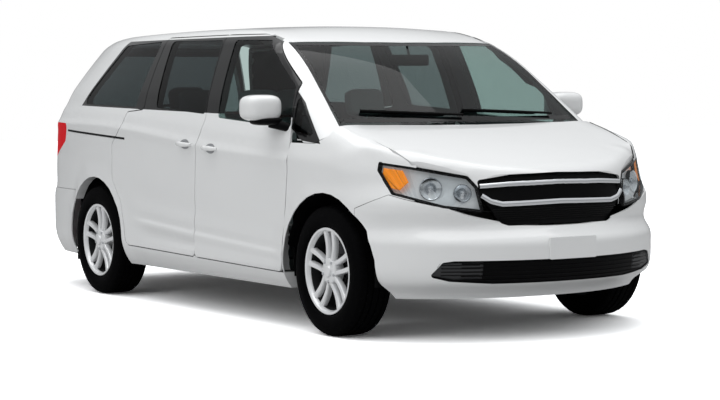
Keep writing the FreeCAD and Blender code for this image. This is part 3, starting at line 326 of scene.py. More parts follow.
# Window band seen from beside, as straight edges from (x, z) to (x, z) that run round it
BAND_EDGES = (((1.60, 1.050), (-0.60, 1.222)), ((-0.50, 1.229), (-1.75, 1.254)),
              ((-1.672, 1.250), (-1.268, 1.672)), ((-1.40, 1.674), (0.70, 1.668)),
              ((0.708, 1.672), (1.167, 1.400)), ((1.167, 1.400), (1.512, 1.094)))
# On the side frame the band stops at the door's seam, so the windscreen pillar stays white
FRAME_EDGES = BAND_EDGES[:4] + (((0.608, 1.672), (1.067, 1.400)), ((1.120, 1.400), (1.512, 1.086)))

WHITE = "#EDEEEE"
# Half width inside which a side panel's low faces are painted near black as shade
SHADE_WIDTH = 0.885

# Pearl white lacquer over primer: bright and smooth, with a sharp clear coat on top
PAINT = Finish("pearl_white_lacquer", WHITE, 0.3, coat=1.0)
# The same lacquer on the doors, with gloss black film round the windows, moulded trim inside and painted
# shade on deep low faces
SIDE_PAINT = PanelPaint("pearl_white_lacquer_sides", WHITE, 0.3, coat=1.0, edges=BAND_EDGES,
                        shade_width=SHADE_WIDTH)
# The side frame's lacquer, with the band cut back at the windscreen pillar and painted shade on deep low
# faces
FRAME_PAINT = PanelPaint("pearl_white_lacquer_frame", WHITE, 0.3, coat=1.0, edges=FRAME_EDGES,
                         shade_width=SHADE_WIDTH, bent=True)
# The roof's lacquer, with woven headlining inside
SHELL_PAINT = PanelPaint("pearl_white_lacquer_lined", WHITE, 0.3, coat=1.0, trim="#A5A4A0")
# Inner face of a front wing: coated against stones, dark and flat
WING_PAINT = PanelPaint("pearl_white_lacquer_wing", WHITE, 0.3, coat=1.0, trim="#161617", edges=FRAME_EDGES,
                        bent=True)
# Silvered mirror glass: a clean mirror
MIRROR_GLASS = Finish("silvered_mirror_glass", "#D5DADD", 0.02, metallic=1.0)
# Laminated float glass with a faint green tint: mostly clear, mirror-like at a slant
CLEAR_GLASS = Pane("laminated_glass_green_tint", "#D3DEDC", ior=1.45)
# Privacy glass, dyed in the mass: very dark but still see-through
DARK_GLASS = Pane("privacy_glass_dark", "#A9B0B1", ior=1.45)
# Clear polycarbonate lamp cover: colourless with a crisp sheen
LAMP_COVER = Pane("polycarbonate_clear_cover", "#F4F6F7", ior=1.45)
# Vapour-deposited aluminium in a lamp: a soft mirror
REFLECTOR = Finish("aluminised_reflector", "#E4E6E8", 0.12, metallic=1.0)
# Moulded satin aluminium-look housing behind the cover, with a painted glow that lightens it
LAMP_HOUSING_GLOW = Finish("satin_lamp_housing", "#D0D2D3", 0.35, metallic=0.2, glow=0.22)
# Amber acrylic indicator lens: warm orange with depth and a painted glow
AMBER_GLOW = Finish("amber_acrylic", "#F58A0C", 0.2, coat=0.3, glow=0.45)
# Red acrylic tail lamp: deep red with a glossy face and a painted glow
RED_LENS_GLOW = Finish("red_acrylic", "#B0000E", 0.3, glow=0.5, shine=0.03)
# Grained polypropylene, moulded: near black with a dull sheen
BLACK_PLASTIC = Finish("black_polypropylene_grained", "#060607", 0.5, grain_mm=1.5, shine=0.08)
# Gloss black ABS: a dark mirror
GLOSS_BLACK = Finish("gloss_black_abs", "#060607", 0.12, coat=0.05, shine=0.15)
# Electroplated chrome on ABS: bright and mirror-smooth
CHROME = Finish("chrome_plated_abs", "#DADCDF", 0.08, metallic=1.0)
# Cast aluminium wheel with silver lacquer: bright, slightly soft gleam
ALLOY = Finish("silver_lacquered_aluminium", "#F4F5F6", 0.28, metallic=0.3, coat=0.6)
# Inside of the rim barrel: painted dark as shade behind the spokes, soft
SHADED_BARREL = Finish("rim_barrel_lacquer", "#232425", 0.6, metallic=0.2, shine=0.3)
# Vulcanised rubber with a fine mould texture: dull black
RUBBER = Finish("tyre_rubber", "#050506", 0.75, grain_mm=3.0, grain_height=0.2, shine=0.04)
# Soft grained dashboard foam skin: dark grey and matt
DASH_SKIN = Finish("dashboard_foam_skin", "#56575A", 0.65, grain_mm=2.0, grain_height=0.02)
# Woven polyester seat cloth: mid grey, with the weave drawn coarse enough to show
SEAT_CLOTH = Finish("woven_polyester_cloth", "#A2A4A6", 0.85, grain_mm=3.0, grain_height=0.03, speckle=0.15)
# Dark underbody coating: flat and slightly rough
UNDERCOAT = Finish("underbody_coating", "#1D1D1E", 0.7, grain_mm=6.0)
# Sand-cast iron: grey and grainy
CAST = Finish("cast_iron", "#5C5B59", 0.6, metallic=0.6, grain_mm=3.0)
# Aluminised exhaust steel: dull silver
EXHAUST = Finish("aluminised_steel", "#77736D", 0.45, metallic=0.9)
# Brake disc: turned grey iron with a clean face, its grey darkened as painted shade behind the spokes
BRAKE_IRON_SHADE = Finish("turned_grey_iron", "#4A4A4C", 0.4, metallic=0.9)
# Moulded blank where a fog lamp could sit: charcoal with a dull sheen
FOG_BLANK = Finish("charcoal_polypropylene", "#2B2C2E", 0.45, grain_mm=1.5)
# Recess behind a door handle: the body's white darkened to grey as painted shade
RECESS_SHADE_GREY = Finish("pearl_white_lacquer_recess", "#8B8D90", 0.35, coat=0.6)


def soften(mesh: bpy.types.Mesh, angle: float) -> None:
    """Shade a mesh smooth except at sharp edges.

    Args:
        mesh: The mesh.
        angle: Edges sharper than this many degrees stay sharp.
    """
    mesh.polygons.foreach_set("use_smooth", [True] * len(mesh.polygons))
    mesh.set_sharp_from_angle(angle=math.radians(angle))


def place_object(name: str, data: bpy.types.ID) -> bpy.types.Object:
    """Put new data into the scene.

    Args:
        name: The object's name.
        data: Its mesh, light or camera.

    Returns:
        The new object.
    """
    placed = bpy.data.objects.new(name, data)
    bpy.context.scene.collection.objects.link(placed)
    return placed


def new_piece(name: str, vertices: Sequence[Point], faces: Sequence[Sequence[int]], finish: Finish, body: str,
              angle: float = 35.0) -> bpy.types.Object:
    """Make a mesh piece that rides on a body.

    Args:
        name: The piece's name.
        vertices: Points in the part's frame.
        faces: Corner numbers of each face.
        finish: The material it gets.
        body: CAD body that carries it.
        angle: Edges sharper than this many degrees stay sharp.

    Returns:
        The new object.
    """
    mesh = bpy.data.meshes.new(name)
    mesh.from_pydata([tuple(v) for v in vertices], [], [tuple(f) for f in faces])
    mesh.validate()
    mesh.materials.append(finish.build())
    piece = place_object(name, mesh)
    soften(mesh, angle)
    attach(piece, body)
    return piece


@dataclass
class Skin:
    """The outer faces of some CAD nodes, to set pieces on."""

    nodes: tuple[str, ...]
    tree: BVHTree = field(init=False)

    def __post_init__(self) -> None:
        """Gather the nodes' triangles into one search tree."""
        vertices: list[Vector] = []
        faces: list[list[int]] = []
        for name in self.nodes:
            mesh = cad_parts[name].data
            start = len(vertices)
            vertices += [v.co.copy() for v in mesh.vertices]
            faces += [[start + i for i in p.vertices] for p in mesh.polygons]
        self.tree = BVHTree.FromPolygons(vertices, faces)

    def hit(self, start: Sequence[float], heading: Sequence[float]) -> Spot:
        """Find the first face on a line.

        Args:
            start: Where the line starts.
            heading: Which way it goes.

        Returns:
            The point and its outward normal.
        """
        way = Vector(heading).normalized()
        point, normal, _, _ = self.tree.ray_cast(Vector(start), way)
        if point is None:
            point, normal, _, _ = self.tree.find_nearest(Vector(start) + way)
        return point, (normal if normal.dot(way) < 0 else -normal)

    def side(self, x: float, z: float, side: Side) -> Spot:
        """Find the side's outer face at a place seen from beside.

        Args:
            x: Place along the car.
            z: Height.
            side: Left or right.

        Returns:
            The point and its outward normal.
        """
        return self.hit((x, side.value * 1.6, z), (0, -side.value, 0))

    def front(self, y: float, z: float) -> Spot:
        """Find the nose's outer face at a place seen from ahead.

        Args:
            y: Place across the car.
            z: Height.

        Returns:
            The point and its outward normal.
        """
        return self.hit((3.2, y, z), (-1, 0, 0))

    def back(self, y: float, z: float) -> Spot:
        """Find the outer face at a place seen from behind.

        Args:
            y: Place across the car.
            z: Height.

        Returns:
            The point and its outward normal.
        """
        return self.hit((-3.2, y, z), (1, 0, 0))


def spread(first: float, last: float, steps: int) -> list[float]:
    """Give evenly spaced values.

    Args:
        first: The first value.
        last: The last value.
        steps: How many steps lie between them.

    Returns:
        The values, both ends included.
    """
    return [first + (last - first) * k / steps for k in range(steps + 1)]


def lifted(path: Sequence[Spot], height: float) -> list[Spot]:
    """Move points off the surface they lie on.

    Args:
        path: Each point and the outward normal there.
        height: How far they move outwards.

    Returns:
        The moved points with their normals.
    """
    return [(point + normal * height, normal) for point, normal in path]


def along(points: Sequence[Sequence[float]], count: int) -> list[tuple[float, ...]]:
    """Spread points evenly along a line of straight runs.

    Args:
        points: The line's corners.
        count: How many points to give.

    Returns:
        The points, first and last corner included.
    """
    gaps = [math.dist(a, b) for a, b in zip(points, points[1:])]
    total = sum(gaps)
    result = []
    for i in range(count):
        left = total * i / (count - 1)
        k = 0
        while k < len(gaps) - 1 and left > gaps[k]:
            left -= gaps[k]
            k += 1
        t = min(1.0, left / gaps[k]) if gaps[k] else 0.0
        result.append(tuple(a + (b - a) * t for a, b in zip(points[k], points[k + 1])))
    return result


def tube_faces(rows: int, sides: int, closed: bool = False) -> list[Face]:
    """Join rings of points into a tube.

    Args:
        rows: How many rings there are.
        sides: Points on each ring.
        closed: Join the last ring to the first.

    Returns:
        The tube's faces.
    """
    faces = []
    for i in range(rows if closed else rows - 1):
        j = (i + 1) % rows
        for k in range(sides):
            m = (k + 1) % sides
            faces.append((i * sides + k, i * sides + m, j * sides + m, j * sides + k))
    return faces


def block_skin(steps: int, place: Callable[[list[float]], Point]) -> tuple[list[Point], list[Face]]:
    """Cover a cube with a grid and put each grid point where a shape wants it.

    Args:
        steps: Steps along each edge.
        place: Gives the point for a place on the cube, each value from -1 to 1.

    Returns:
        The points and the faces.
    """
    vertices: list[Point] = []
    index: dict[Face, int] = {}
    faces: list[Face] = []
    for a in range(3):
        b, c = (a + 1) % 3, (a + 2) % 3
        for end, i, j in product((0, steps), range(steps), range(steps)):
            quad = []
            for di, dj in ((0, 0), (1, 0), (1, 1), (0, 1)):
                key = [0, 0, 0]
                key[a], key[b], key[c] = end, i + di, j + dj
                if tuple(key) not in index:
                    vertices.append(place([2 * v / steps - 1 for v in key]))
                    index[tuple(key)] = len(vertices) - 1
                quad.append(index[tuple(key)])
            faces.append(tuple(quad if end else reversed(quad)))
    return vertices, faces


def swept(name: str, path: Sequence[Spot], section: Sequence[Flat], finish: Finish,
          body: str, closed: bool = False, scale: Callable[[float], float] | None = None) -> bpy.types.Object:
    """Sweep a section along points that lie on a surface.

    Args:
        name: The piece's name.
        path: Each point and the surface's outward normal there.
        section: The section's corners as (across, outward), in metres.
        finish: The material it gets.
        body: CAD body that carries it.
        closed: Join the last point to the first.
        scale: Size of the section at a share of the path's length.

    Returns:
        The new object.
    """
    vertices: list[Point] = []
    count, sides = len(path), len(section)
    for i, (point, normal) in enumerate(path):
        before = path[(i - 1) % count if closed else max(0, i - 1)][0]
        after = path[(i + 1) % count if closed else min(count - 1, i + 1)][0]
        ahead = (after - before).normalized()
        across = normal.cross(ahead).normalized()
        size = scale(i / (count - 1)) if scale else 1.0
        for a, b in section:
            vertices.append(tuple(point + across * (a * size) + normal * (b * size)))
    faces = tube_faces(count, sides, closed)
    if not closed:
        faces.append(tuple(reversed(range(sides))))
        faces.append(tuple((count - 1) * sides + k for k in range(sides)))
    return new_piece(name, vertices, faces, finish, body)


def rounded_section(width: float, height: float, sink: float = 0.002) -> list[Flat]:
    """Give a low domed section that stands on a surface.

    Args:
        width: Width across.
        height: How far it stands out.
        sink: How far its foot goes into the surface.

    Returns:
        The section's corners.
    """
    corners, steps = [(-width / 2, -sink)], 6
    for i in range(steps + 1):
        a = math.pi * (1 - i / steps)
        corners.append((width / 2 * math.cos(a), height * math.sin(a) ** 0.6 if 0 < i < steps else 0.0))
    corners.append((width / 2, -sink))
    return list(reversed(corners))


def turned(name: str, profile: Sequence[Flat], centre: Sequence[float], axis: Sequence[float], finish: Finish,
           body: str, segments: int = 48) -> bpy.types.Object:
    """Turn a profile round an axis.

    Args:
        name: The piece's name.
        profile: Points as (distance along the axis, radius).
        centre: Where the axis starts.
        axis: The axis direction.
        finish: The material it gets.
        body: CAD body that carries it.
        segments: Steps round.

    Returns:
        The new object.
    """
    way = Vector(axis).normalized()
    first = way.orthogonal().normalized()
    second = way.cross(first)
    vertices: list[Point] = []
    for s, r in profile:
        for k in range(segments):
            a = 2 * math.pi * k / segments
            out = first * math.cos(a) + second * math.sin(a)
            vertices.append(tuple(Vector(centre) + way * s + out * r))
    return new_piece(name, vertices, tube_faces(len(profile), segments), finish, body)


def patch(name: str, outline: Sequence[Flat], place: Callable[[float, float], Spot], lift: float,
          finish: Finish, body: str, pitch: float = 0.02, thick: float = 0.0) -> bpy.types.Object:
    """Lay a sheet with a given outline on a surface.

    Args:
        name: The piece's name.
        outline: The outline's corners in the flat view.
        place: Gives the surface's point and normal at a flat place.
        lift: How far the sheet stands off the surface.
        finish: The material it gets.
        body: CAD body that carries it.
        pitch: Distance between inner points.
        thick: Thickness added inwards.

    Returns:
        The new object.
    """
    rim: list[Flat] = []
    for (ax, ay), (bx, by) in zip(outline, list(outline[1:]) + [outline[0]]):
        steps = max(1, int(math.hypot(bx - ax, by - ay) / pitch))
        rim += [(ax + (bx - ax) * i / steps, ay + (by - ay) * i / steps) for i in range(steps)]
    low = [min(p[i] for p in rim) for i in (0, 1)]
    high = [max(p[i] for p in rim) for i in (0, 1)]
    flat = [Vector(p) for p in rim]
    edges = [(i, (i + 1) % len(rim)) for i in range(len(rim))]
    span = [high[i] - low[i] for i in (0, 1)]
    columns, rows = (int(span[i] / pitch) for i in (0, 1))
    for i, j in product(range(1, columns), range(1, rows)):
        flat.append(Vector((low[0] + span[0] * i / columns, low[1] + span[1] * j / rows)))
    points, _, faces, *_ = delaunay_2d_cdt(flat, edges, [], 1, 1e-6)
    made = [place(p.x, p.y) for p in points]
    vertices = [tuple(p + n * lift) for p, n in made]
    piece = new_piece(name, vertices, faces, finish, body)
    if thick:
        solid = piece.modifiers.new("wall", "SOLIDIFY")
        solid.thickness = thick
        outward = made[0][1].dot(Vector(piece.data.polygons[0].normal)) > 0
        solid.offset = -1.0 if outward else 1.0
    return piece


@dataclass
class PaintedBody:
    """Panels, glass and plain parts that keep their CAD meshes."""

    single: dict[str, Finish] = field(default_factory=lambda: {
        "front_bumper": PAINT, "rear_bumper": PAINT, "hood": PAINT, "roof": SHELL_PAINT, "tailgate": PAINT,
        "tailgate_glass": DARK_GLASS, "windscreen": CLEAR_GLASS, "side_glass": DARK_GLASS,
        "tail_lamps": RED_LENS_GLOW, "headlamps": LAMP_HOUSING_GLOW, "grilles": BLACK_PLASTIC, "floor_pan": UNDERCOAT,
        "arch_liners": BLACK_PLASTIC, "engine_block": CAST, "dashboard": DASH_SKIN,
        "steering_wheel": DASH_SKIN, "front_seats": SEAT_CLOTH, "middle_seats": SEAT_CLOTH,
        "rear_seats": SEAT_CLOTH, "front_subframe": UNDERCOAT, "rear_axle": UNDERCOAT, "exhaust": EXHAUST,
        "fuel_tank": BLACK_PLASTIC})
    paired: dict[str, Finish] = field(default_factory=lambda: {
        "fender_": WING_PAINT, "side_frame_": FRAME_PAINT, "front_door_": SIDE_PAINT,
        "sliding_door_": SIDE_PAINT, "front_door_glass_": CLEAR_GLASS, "knuckle_": CAST, "mirror_": PAINT,
        "tyre_front_": RUBBER, "tyre_rear_": RUBBER, "rim_front_": ALLOY, "rim_rear_": ALLOY})

    def dress(self) -> None:
        """Give each CAD node its finish and smooth shading."""
        for name, finish in self.single.items():
            self.paint(name, finish)
        for name, finish in self.paired.items():
            for side in Side:
                self.paint(name + side.tag, finish)

    def paint(self, name: str, finish: Finish) -> None:
        """Dress one node.

        Args:
            name: The CAD node.
            finish: Its finish.
        """
        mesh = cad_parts[name].data
        mesh.materials.clear()
        mesh.materials.append(finish.build())
        soften(mesh, 28)


@dataclass
class Headlamp:
    """A headlamp: clear cover, black edge, bright housing, reflectors and the amber indicator."""

    side: Side
    edge: tuple[Point, ...] = ((2.007, 0.863, 0.961), (2.142, 0.753, 0.937), (2.334, 0.517, 0.883),
                               (2.372, 0.481, 0.829), (2.409, 0.468, 0.701), (2.311, 0.656, 0.727),
                               (2.099, 0.842, 0.796), (2.004, 0.868, 0.920))
    amber: tuple[Point, ...] = ((2.030, 0.848, 0.934), (2.110, 0.780, 0.920), (2.150, 0.770, 0.860),
                                (2.128, 0.812, 0.818), (2.085, 0.838, 0.828), (2.030, 0.856, 0.895))
    aim: Point = (0.80, 0.60, 0.05)
    depth: float = 0.045
    border: float = 0.009

    def build(self, skin: Skin) -> None:
        """Build the lamp on the nose.

        Args:
            skin: The CAD lamp's faces.
        """
        s = self.side.value
        way = Vector((self.aim[0], self.aim[1] * s, self.aim[2])).normalized()
        across = Vector((0, 0, 1)).cross(way).normalized()
        up = way.cross(across)
        flat = [(Vector((x, y * s, z)).dot(across), Vector((x, y * s, z)).dot(up)) for x, y, z in self.edge]
        middle = sum((Vector(p) for p in flat), Vector((0, 0))) / len(flat)

        def place(a: float, b: float) -> Spot:
            """Find the cover's face at a flat place."""
            return skin.hit(across * a + up * b + way * 4.0, -way)

        def deep(a: float, b: float) -> Spot:
            """Find the cover's face, with the lamp's own direction as normal."""
            return place(a, b)[0], way

        tag = self.side.tag
        inner = [tuple(middle + (Vector(p) - middle) * 0.93) for p in flat]
        cover = patch("lamp_cover_" + tag, flat, place, -0.0015, LAMP_COVER, "chassis", 0.012)
        rim = [tuple(middle + (Vector(p) - middle) * 0.975) for p in flat]
        ring = [deep(*p) for p in along(rim + [rim[0]], 90)[:-1]]
        w = self.border
        swept("lamp_border_" + tag, lifted(ring, -0.003), [(-w, -0.03), (-w, 0.0), (w, 0.0), (w, -0.03)],
              GLOSS_BLACK, "chassis", closed=True)
        # The housing glows: painted light
        patch("lamp_housing_" + tag, inner, deep, -self.depth, LAMP_HOUSING_GLOW, "chassis", 0.015)
        # The amber lens glows: painted light
        lens = [Vector((x, y * s, z)) for x, y, z in self.amber]
        patch("lamp_amber_" + tag, [(p.dot(across), p.dot(up)) for p in lens], deep, -0.010, AMBER_GLOW,
              "chassis", 0.012, 0.004)
        for label, spot, size in (("main", (2.240, 0.690 * s, 0.824), 0.058),
                                  ("inner", (2.345, 0.560 * s, 0.800), 0.046)):
            self.bowl(f"lamp_{label}_{tag}", Vector(spot), way, size, skin)
        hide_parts("headlamps")

    def bowl(self, name: str, spot: Vector, way: Vector, size: float, skin: Skin) -> None:
        """Build a reflector bowl with its bulb shield behind the cover.

        Args:
            name: The piece's name.
            spot: A point near its middle on the cover.
            way: The lamp's direction.
            size: Its radius.
            skin: The CAD lamp's faces.
        """
        point, _ = skin.hit(spot + way * 1.0, -way)
        face = (way + Vector((0.25, 0, 0))).normalized()
        centre = point - way * 0.018
        profile = [(-0.024 * (1 - (r * r)), size * r) for r in (0.12, 0.3, 0.5, 0.7, 0.85, 0.96)]
        profile += [(0.0, size), (0.004, size * 1.05), (-0.022, size * 1.1)]
        turned(name, profile, centre, face, REFLECTOR, "chassis")
        turned(name + "_bulb", [(-0.024, 0.002), (-0.008, size * 0.30), (0.000, size * 0.26), (0.003, 0.001)],
               centre, face, CHROME, "chassis", 20)


@dataclass
class FrontTrim:
    """Chrome bars and slats in the grilles and the fog lamp blanks."""

    upper_bar: tuple[Flat, ...] = ((-0.462, 0.832), (-0.30, 0.843), (0.0, 0.848), (0.30, 0.843),
                                   (0.462, 0.832))
    lower_bar: tuple[Flat, ...] = ((-0.462, 0.782), (-0.42, 0.752), (-0.36, 0.738), (0.0, 0.746),
                                   (0.36, 0.738), (0.42, 0.752), (0.462, 0.782))

    def build(self, skin: Skin) -> None:
        """Build the trim on the nose.

        Args:
            skin: The nose's CAD faces.
        """
        for label, line, width in (("upper", self.upper_bar, 0.028), ("lower", self.lower_bar, 0.030)):
            path = lifted([skin.front(y, z) for y, z in along(line, 60)], 0.006)
            swept("chrome_bar_" + label, path, rounded_section(width, 0.018, 0.014), CHROME, "chassis")
        for i in range(6):
            half = 0.34 + 0.02 * i
            path = [skin.front(y, 0.655 + 0.0115 * i) for y in spread(-half, half, 30)]
            swept(f"grille_slat_{i}", path, rounded_section(0.005, 0.004), GLOSS_BLACK, "chassis")
        for i in range(5):
            path = [skin.front(y, 0.345 + 0.022 * i) for y in spread(-0.60, 0.60, 40)]
            swept(f"air_slat_{i}", path, rounded_section(0.007, 0.006), BLACK_PLASTIC, "chassis")
        for side in Side:
            s, tag = side.value, side.tag
            outline = [(0.50 * s, 0.440), (0.70 * s, 0.436), (0.735 * s, 0.372), (0.63 * s, 0.350),
                       (0.50 * s, 0.352)]
            patch("fog_blank_" + tag, outline, skin.front, 0.001, FOG_BLANK, "chassis", 0.02, 0.008)
            for i in range(4):
                line = [skin.front(s * y, 0.372 + 0.018 * i) for y in spread(0.515, 0.690, 10)]
                swept(f"fog_rib_{tag}_{i}", line, rounded_section(0.006, 0.005), GLOSS_BLACK, "chassis")


@dataclass
class SideTrim:
    """Door handles, mirror, rail, mud flap and the front arch's closing sheets on one side."""

    side: Side
    handles: tuple[tuple[str, float, float], ...] = (("front", 0.322, 1.006), ("sliding", -0.012, 1.026))
    rail: tuple[Flat, ...] = ((-0.885, 1.043), (-1.845, 1.083))
    front_wheel: Point = (FRONT_AXLE, WHEEL_HALF_TRACK, WHEEL_RADIUS)

    def build(self, skin: Skin) -> None:
        """Build the trim on the side's skin.

        Args:
            skin: The side's CAD faces.
        """
        tag = self.side.tag
        for label, x, z in self.handles:
            body = "front_door_" + tag if label == "front" else "chassis"
            # Each cup is a grey sheet on the skin, painted shade for the recess behind the handle
            cup = [(x + 0.060 * math.cos(a), z - 0.002 + 0.030 * math.sin(a))
                   for a in spread(0, 2 * math.pi, 24)[:-1]]
            patch(f"{label}_handle_cup_{tag}", cup, lambda a, b: skin.side(a, b, self.side), 0.0012,
                  RECESS_SHADE_GREY, body, 0.012)
            path = []
            for t in spread(0, 1, 16):
                p, n = skin.side(x - 0.09 + 0.18 * t, z + 0.004 - 0.008 * t, self.side)
                path.append((p + n * (0.004 + 0.026 * max(0.0, math.sin(math.pi * t)) ** 0.5), n))
            section = [(0.013 * math.cos(a), 0.008 * math.sin(a)) for a in spread(0, 2 * math.pi, 12)[:-1]]
            swept(f"{label}_handle_{tag}", path, section, PAINT, body,
                  scale=lambda t: 0.65 + 0.5 * math.sin(math.pi * t) ** 0.5)
        s = self.side.value
        flap = (-1.803, s * 0.835, 0.305)
        new_box("mud_flap_" + tag, flap, (0.005, 0.095, 0.105), BLACK_PLASTIC, "chassis", 0.003)
        cap = soft_block("mirror_cap_" + tag, (1.073, s * 1.066, 1.2505), (0.095, 0.110, 0.0745), 3.4, PAINT,
                         "front_door_" + tag)
        soft_block("mirror_base_" + tag, (1.088, s * 1.040, 1.176), (0.076, 0.088, 0.024), 2.8, BLACK_PLASTIC,
                   "front_door_" + tag)
        turned("mirror_arm_" + tag, [(0.0, 0.001), (0.0, 0.030), (0.135, 0.024), (0.135, 0.001)],
               (1.10, s * 1.02, 1.168), (0.085, -s * 0.095, -0.035), BLACK_PLASTIC, "front_door_" + tag, 24)
        new_box("mirror_glass_" + tag, (0.9850, s * 1.066, 1.2505), (0.0085, 0.080, 0.050), MIRROR_GLASS,
                "front_door_" + tag, 0.006)
        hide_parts("mirror_" + tag)
        self.arch_edge(tag)
        path = [skin.side(x, z, self.side) for x, z in along(self.rail, 30)]
        swept("door_rail_" + tag, path, rounded_section(0.015, 0.0025), GLOSS_BLACK, "chassis")
        swept("door_rail_slot_" + tag, lifted(path, 0.0022), rounded_section(0.005, 0.001), RUBBER, "chassis")

    def arch_edge(self, tag: str) -> None:
        """Close the front arch between its liner and the wing's lip.

        Args:
            tag: Left or right.
        """
        s = self.side.value
        x0, _, z0 = self.front_wheel
        skin = Skin(("fender_" + tag, "front_bumper", "front_door_" + tag, "side_frame_" + tag))
        vertices: list[Point] = []
        steps = 48
        turns = [math.radians(a) for a in spread(-8, 188, steps)]
        for a in turns:
            near = skin.side(x0 + 0.448 * math.cos(a), z0 + 0.439 * math.sin(a), self.side)[0]
            reach = max(0.902, min(0.972, abs(near.y) - 0.012))
            for grow, y in ((0.0, 0.900), (0.0, reach), (0.004, reach), (0.004, 0.900)):
                vertices.append((x0 + (0.4365 + grow) * math.cos(a), s * y,
                                 z0 + (0.4275 + grow) * math.sin(a)))
        faces = tube_faces(steps + 1, 4)
        faces += [(3, 2, 1, 0), tuple(4 * steps + j for j in range(4))]
        new_piece("arch_edge_" + tag, vertices, faces, BLACK_PLASTIC, "chassis")
        wall = [(x0 + 0.430 * math.cos(a), z0 + 0.430 * math.sin(a)) for a in turns]
        count = len(wall)
        sheet = [(x, s * y, z) for y in (0.514, 0.518) for x, z in wall]
        faces = [tuple(range(count)), tuple(reversed(range(count, 2 * count)))]
        faces += [(k, (k + 1) % count, count + (k + 1) % count, count + k) for k in range(count)]
        new_piece("arch_wall_" + tag, sheet, faces, UNDERCOAT, "chassis")
        new_box("wing_inner_" + tag, (1.240, s * 0.780, 0.690), (0.058, 0.004, 0.340), UNDERCOAT, "chassis",
                0.002)


@dataclass
class Cowl:
    """The black band at the windscreen's foot with two wipers, and the mirror inside."""

    def build(self, glass: Skin) -> None:
        """Build the cowl and the wipers.

        Args:
            glass: The windscreen's faces.
        """
        up = Vector((0.555, 0, 0.832))
        back = Vector((-0.832, 0, 0.555))

        def on_glass(y: float, rise: float) -> Spot:
            """Find the windscreen's face a given way above its foot."""
            curve = 0.106 * (abs(y) / 0.76) ** 2.1
            start = Vector((1.640 - curve, y, 1.160)) + back * rise + up * 0.4
            return glass.hit(start, -up)

        band = [(-0.78, 0.005), (0.78, 0.005), (0.78, 0.045), (-0.78, 0.045)]
        patch("windscreen_frit", band, on_glass, 0.0008, GLOSS_BLACK, "chassis", 0.05)
        for s in (-1, 1):
            strip = [(s * 0.806, 0.01), (s * 0.828, 0.01), (s * 0.708, 0.895), (s * 0.690, 0.885)]
            label = "left" if s > 0 else "right"
            patch("windscreen_frit_" + label, strip, on_glass, 0.0008, GLOSS_BLACK, "chassis", 0.03)
        rises = [(y, 0.8735 + 0.0264 * (y / 0.713) ** 2) for y in spread(-0.70, 0.70, 20)]
        strip = rises + [(y, rise - 0.040) for y, rise in reversed(rises)]
        patch("windscreen_frit_top", strip, on_glass, 0.0008, GLOSS_BLACK, "chassis", 0.03)
        for label, y0, y1 in (("left", 0.62, -0.03), ("right", -0.05, -0.66)):
            places = zip(spread(y0, y1, 20), spread(0.05, 0.10, 20))
            path = lifted([on_glass(y, rise) for y, rise in places], 0.012)
            swept("wiper_arm_" + label, path, rounded_section(0.016, 0.010, 0.0), BLACK_PLASTIC, "chassis")
            blade = lifted(path[4:], -0.010)
            swept("wiper_blade_" + label, blade, rounded_section(0.006, 0.010, 0.0), RUBBER, "chassis")
        centre = Vector((0.98, 0.0, 1.52))
        new_box("inside_mirror", centre, (0.02, 0.125, 0.033), BLACK_PLASTIC, "chassis", 0.012)
        turned("inside_mirror_stem", [(0.0, 0.007), (0.09, 0.007)], centre, (-0.35, 0, 0.9), BLACK_PLASTIC,
               "chassis", 12)


def new_box(name: str, centre: Sequence[float], half: Point, finish: Finish, body: str,
            bevel: float = 0.004) -> bpy.types.Object:
    """Make a box with rounded edges.

    Args:
        name: The piece's name.
        centre: Its middle.
        half: Half its size along each axis.
        finish: The material it gets.
        body: CAD body that carries it.
        bevel: Radius of its edges.

    Returns:
        The new object.
    """
    corners = [tuple(sign * h + c for sign, h, c in zip(signs, half, centre))
               for signs in product((-1, 1), repeat=3)]
    faces = [(0, 1, 3, 2), (4, 6, 7, 5), (0, 4, 5, 1), (2, 3, 7, 6), (0, 2, 6, 4), (1, 5, 7, 3)]
    piece = new_piece(name, corners, faces, finish, body)
    round_off = piece.modifiers.new("round", "BEVEL")
    round_off.width = bevel
    round_off.segments = 3
    return piece


def soft_block(name: str, centre: Sequence[float], half: Point, power: float, finish: Finish,
               body: str) -> bpy.types.Object:
    """Make a block whose faces and edges are all rounded.

    Args:
        name: The piece's name.
        centre: Its middle.
        half: Half its size along each axis.
        power: How square it is; 2 gives an egg, more gives a box.
        finish: The material it gets.
        body: CAD body that carries it.

    Returns:
        The new object.
    """
    def place(u: list[float]) -> Point:
        """Pull a cube's point onto the rounded block."""
        size = sum(abs(v) ** power for v in u) ** (1 / power)
        return tuple(m + v / size * h for m, v, h in zip(centre, u, half))

    vertices, faces = block_skin(12, place)
    return new_piece(name, vertices, faces, finish, body, angle=80)


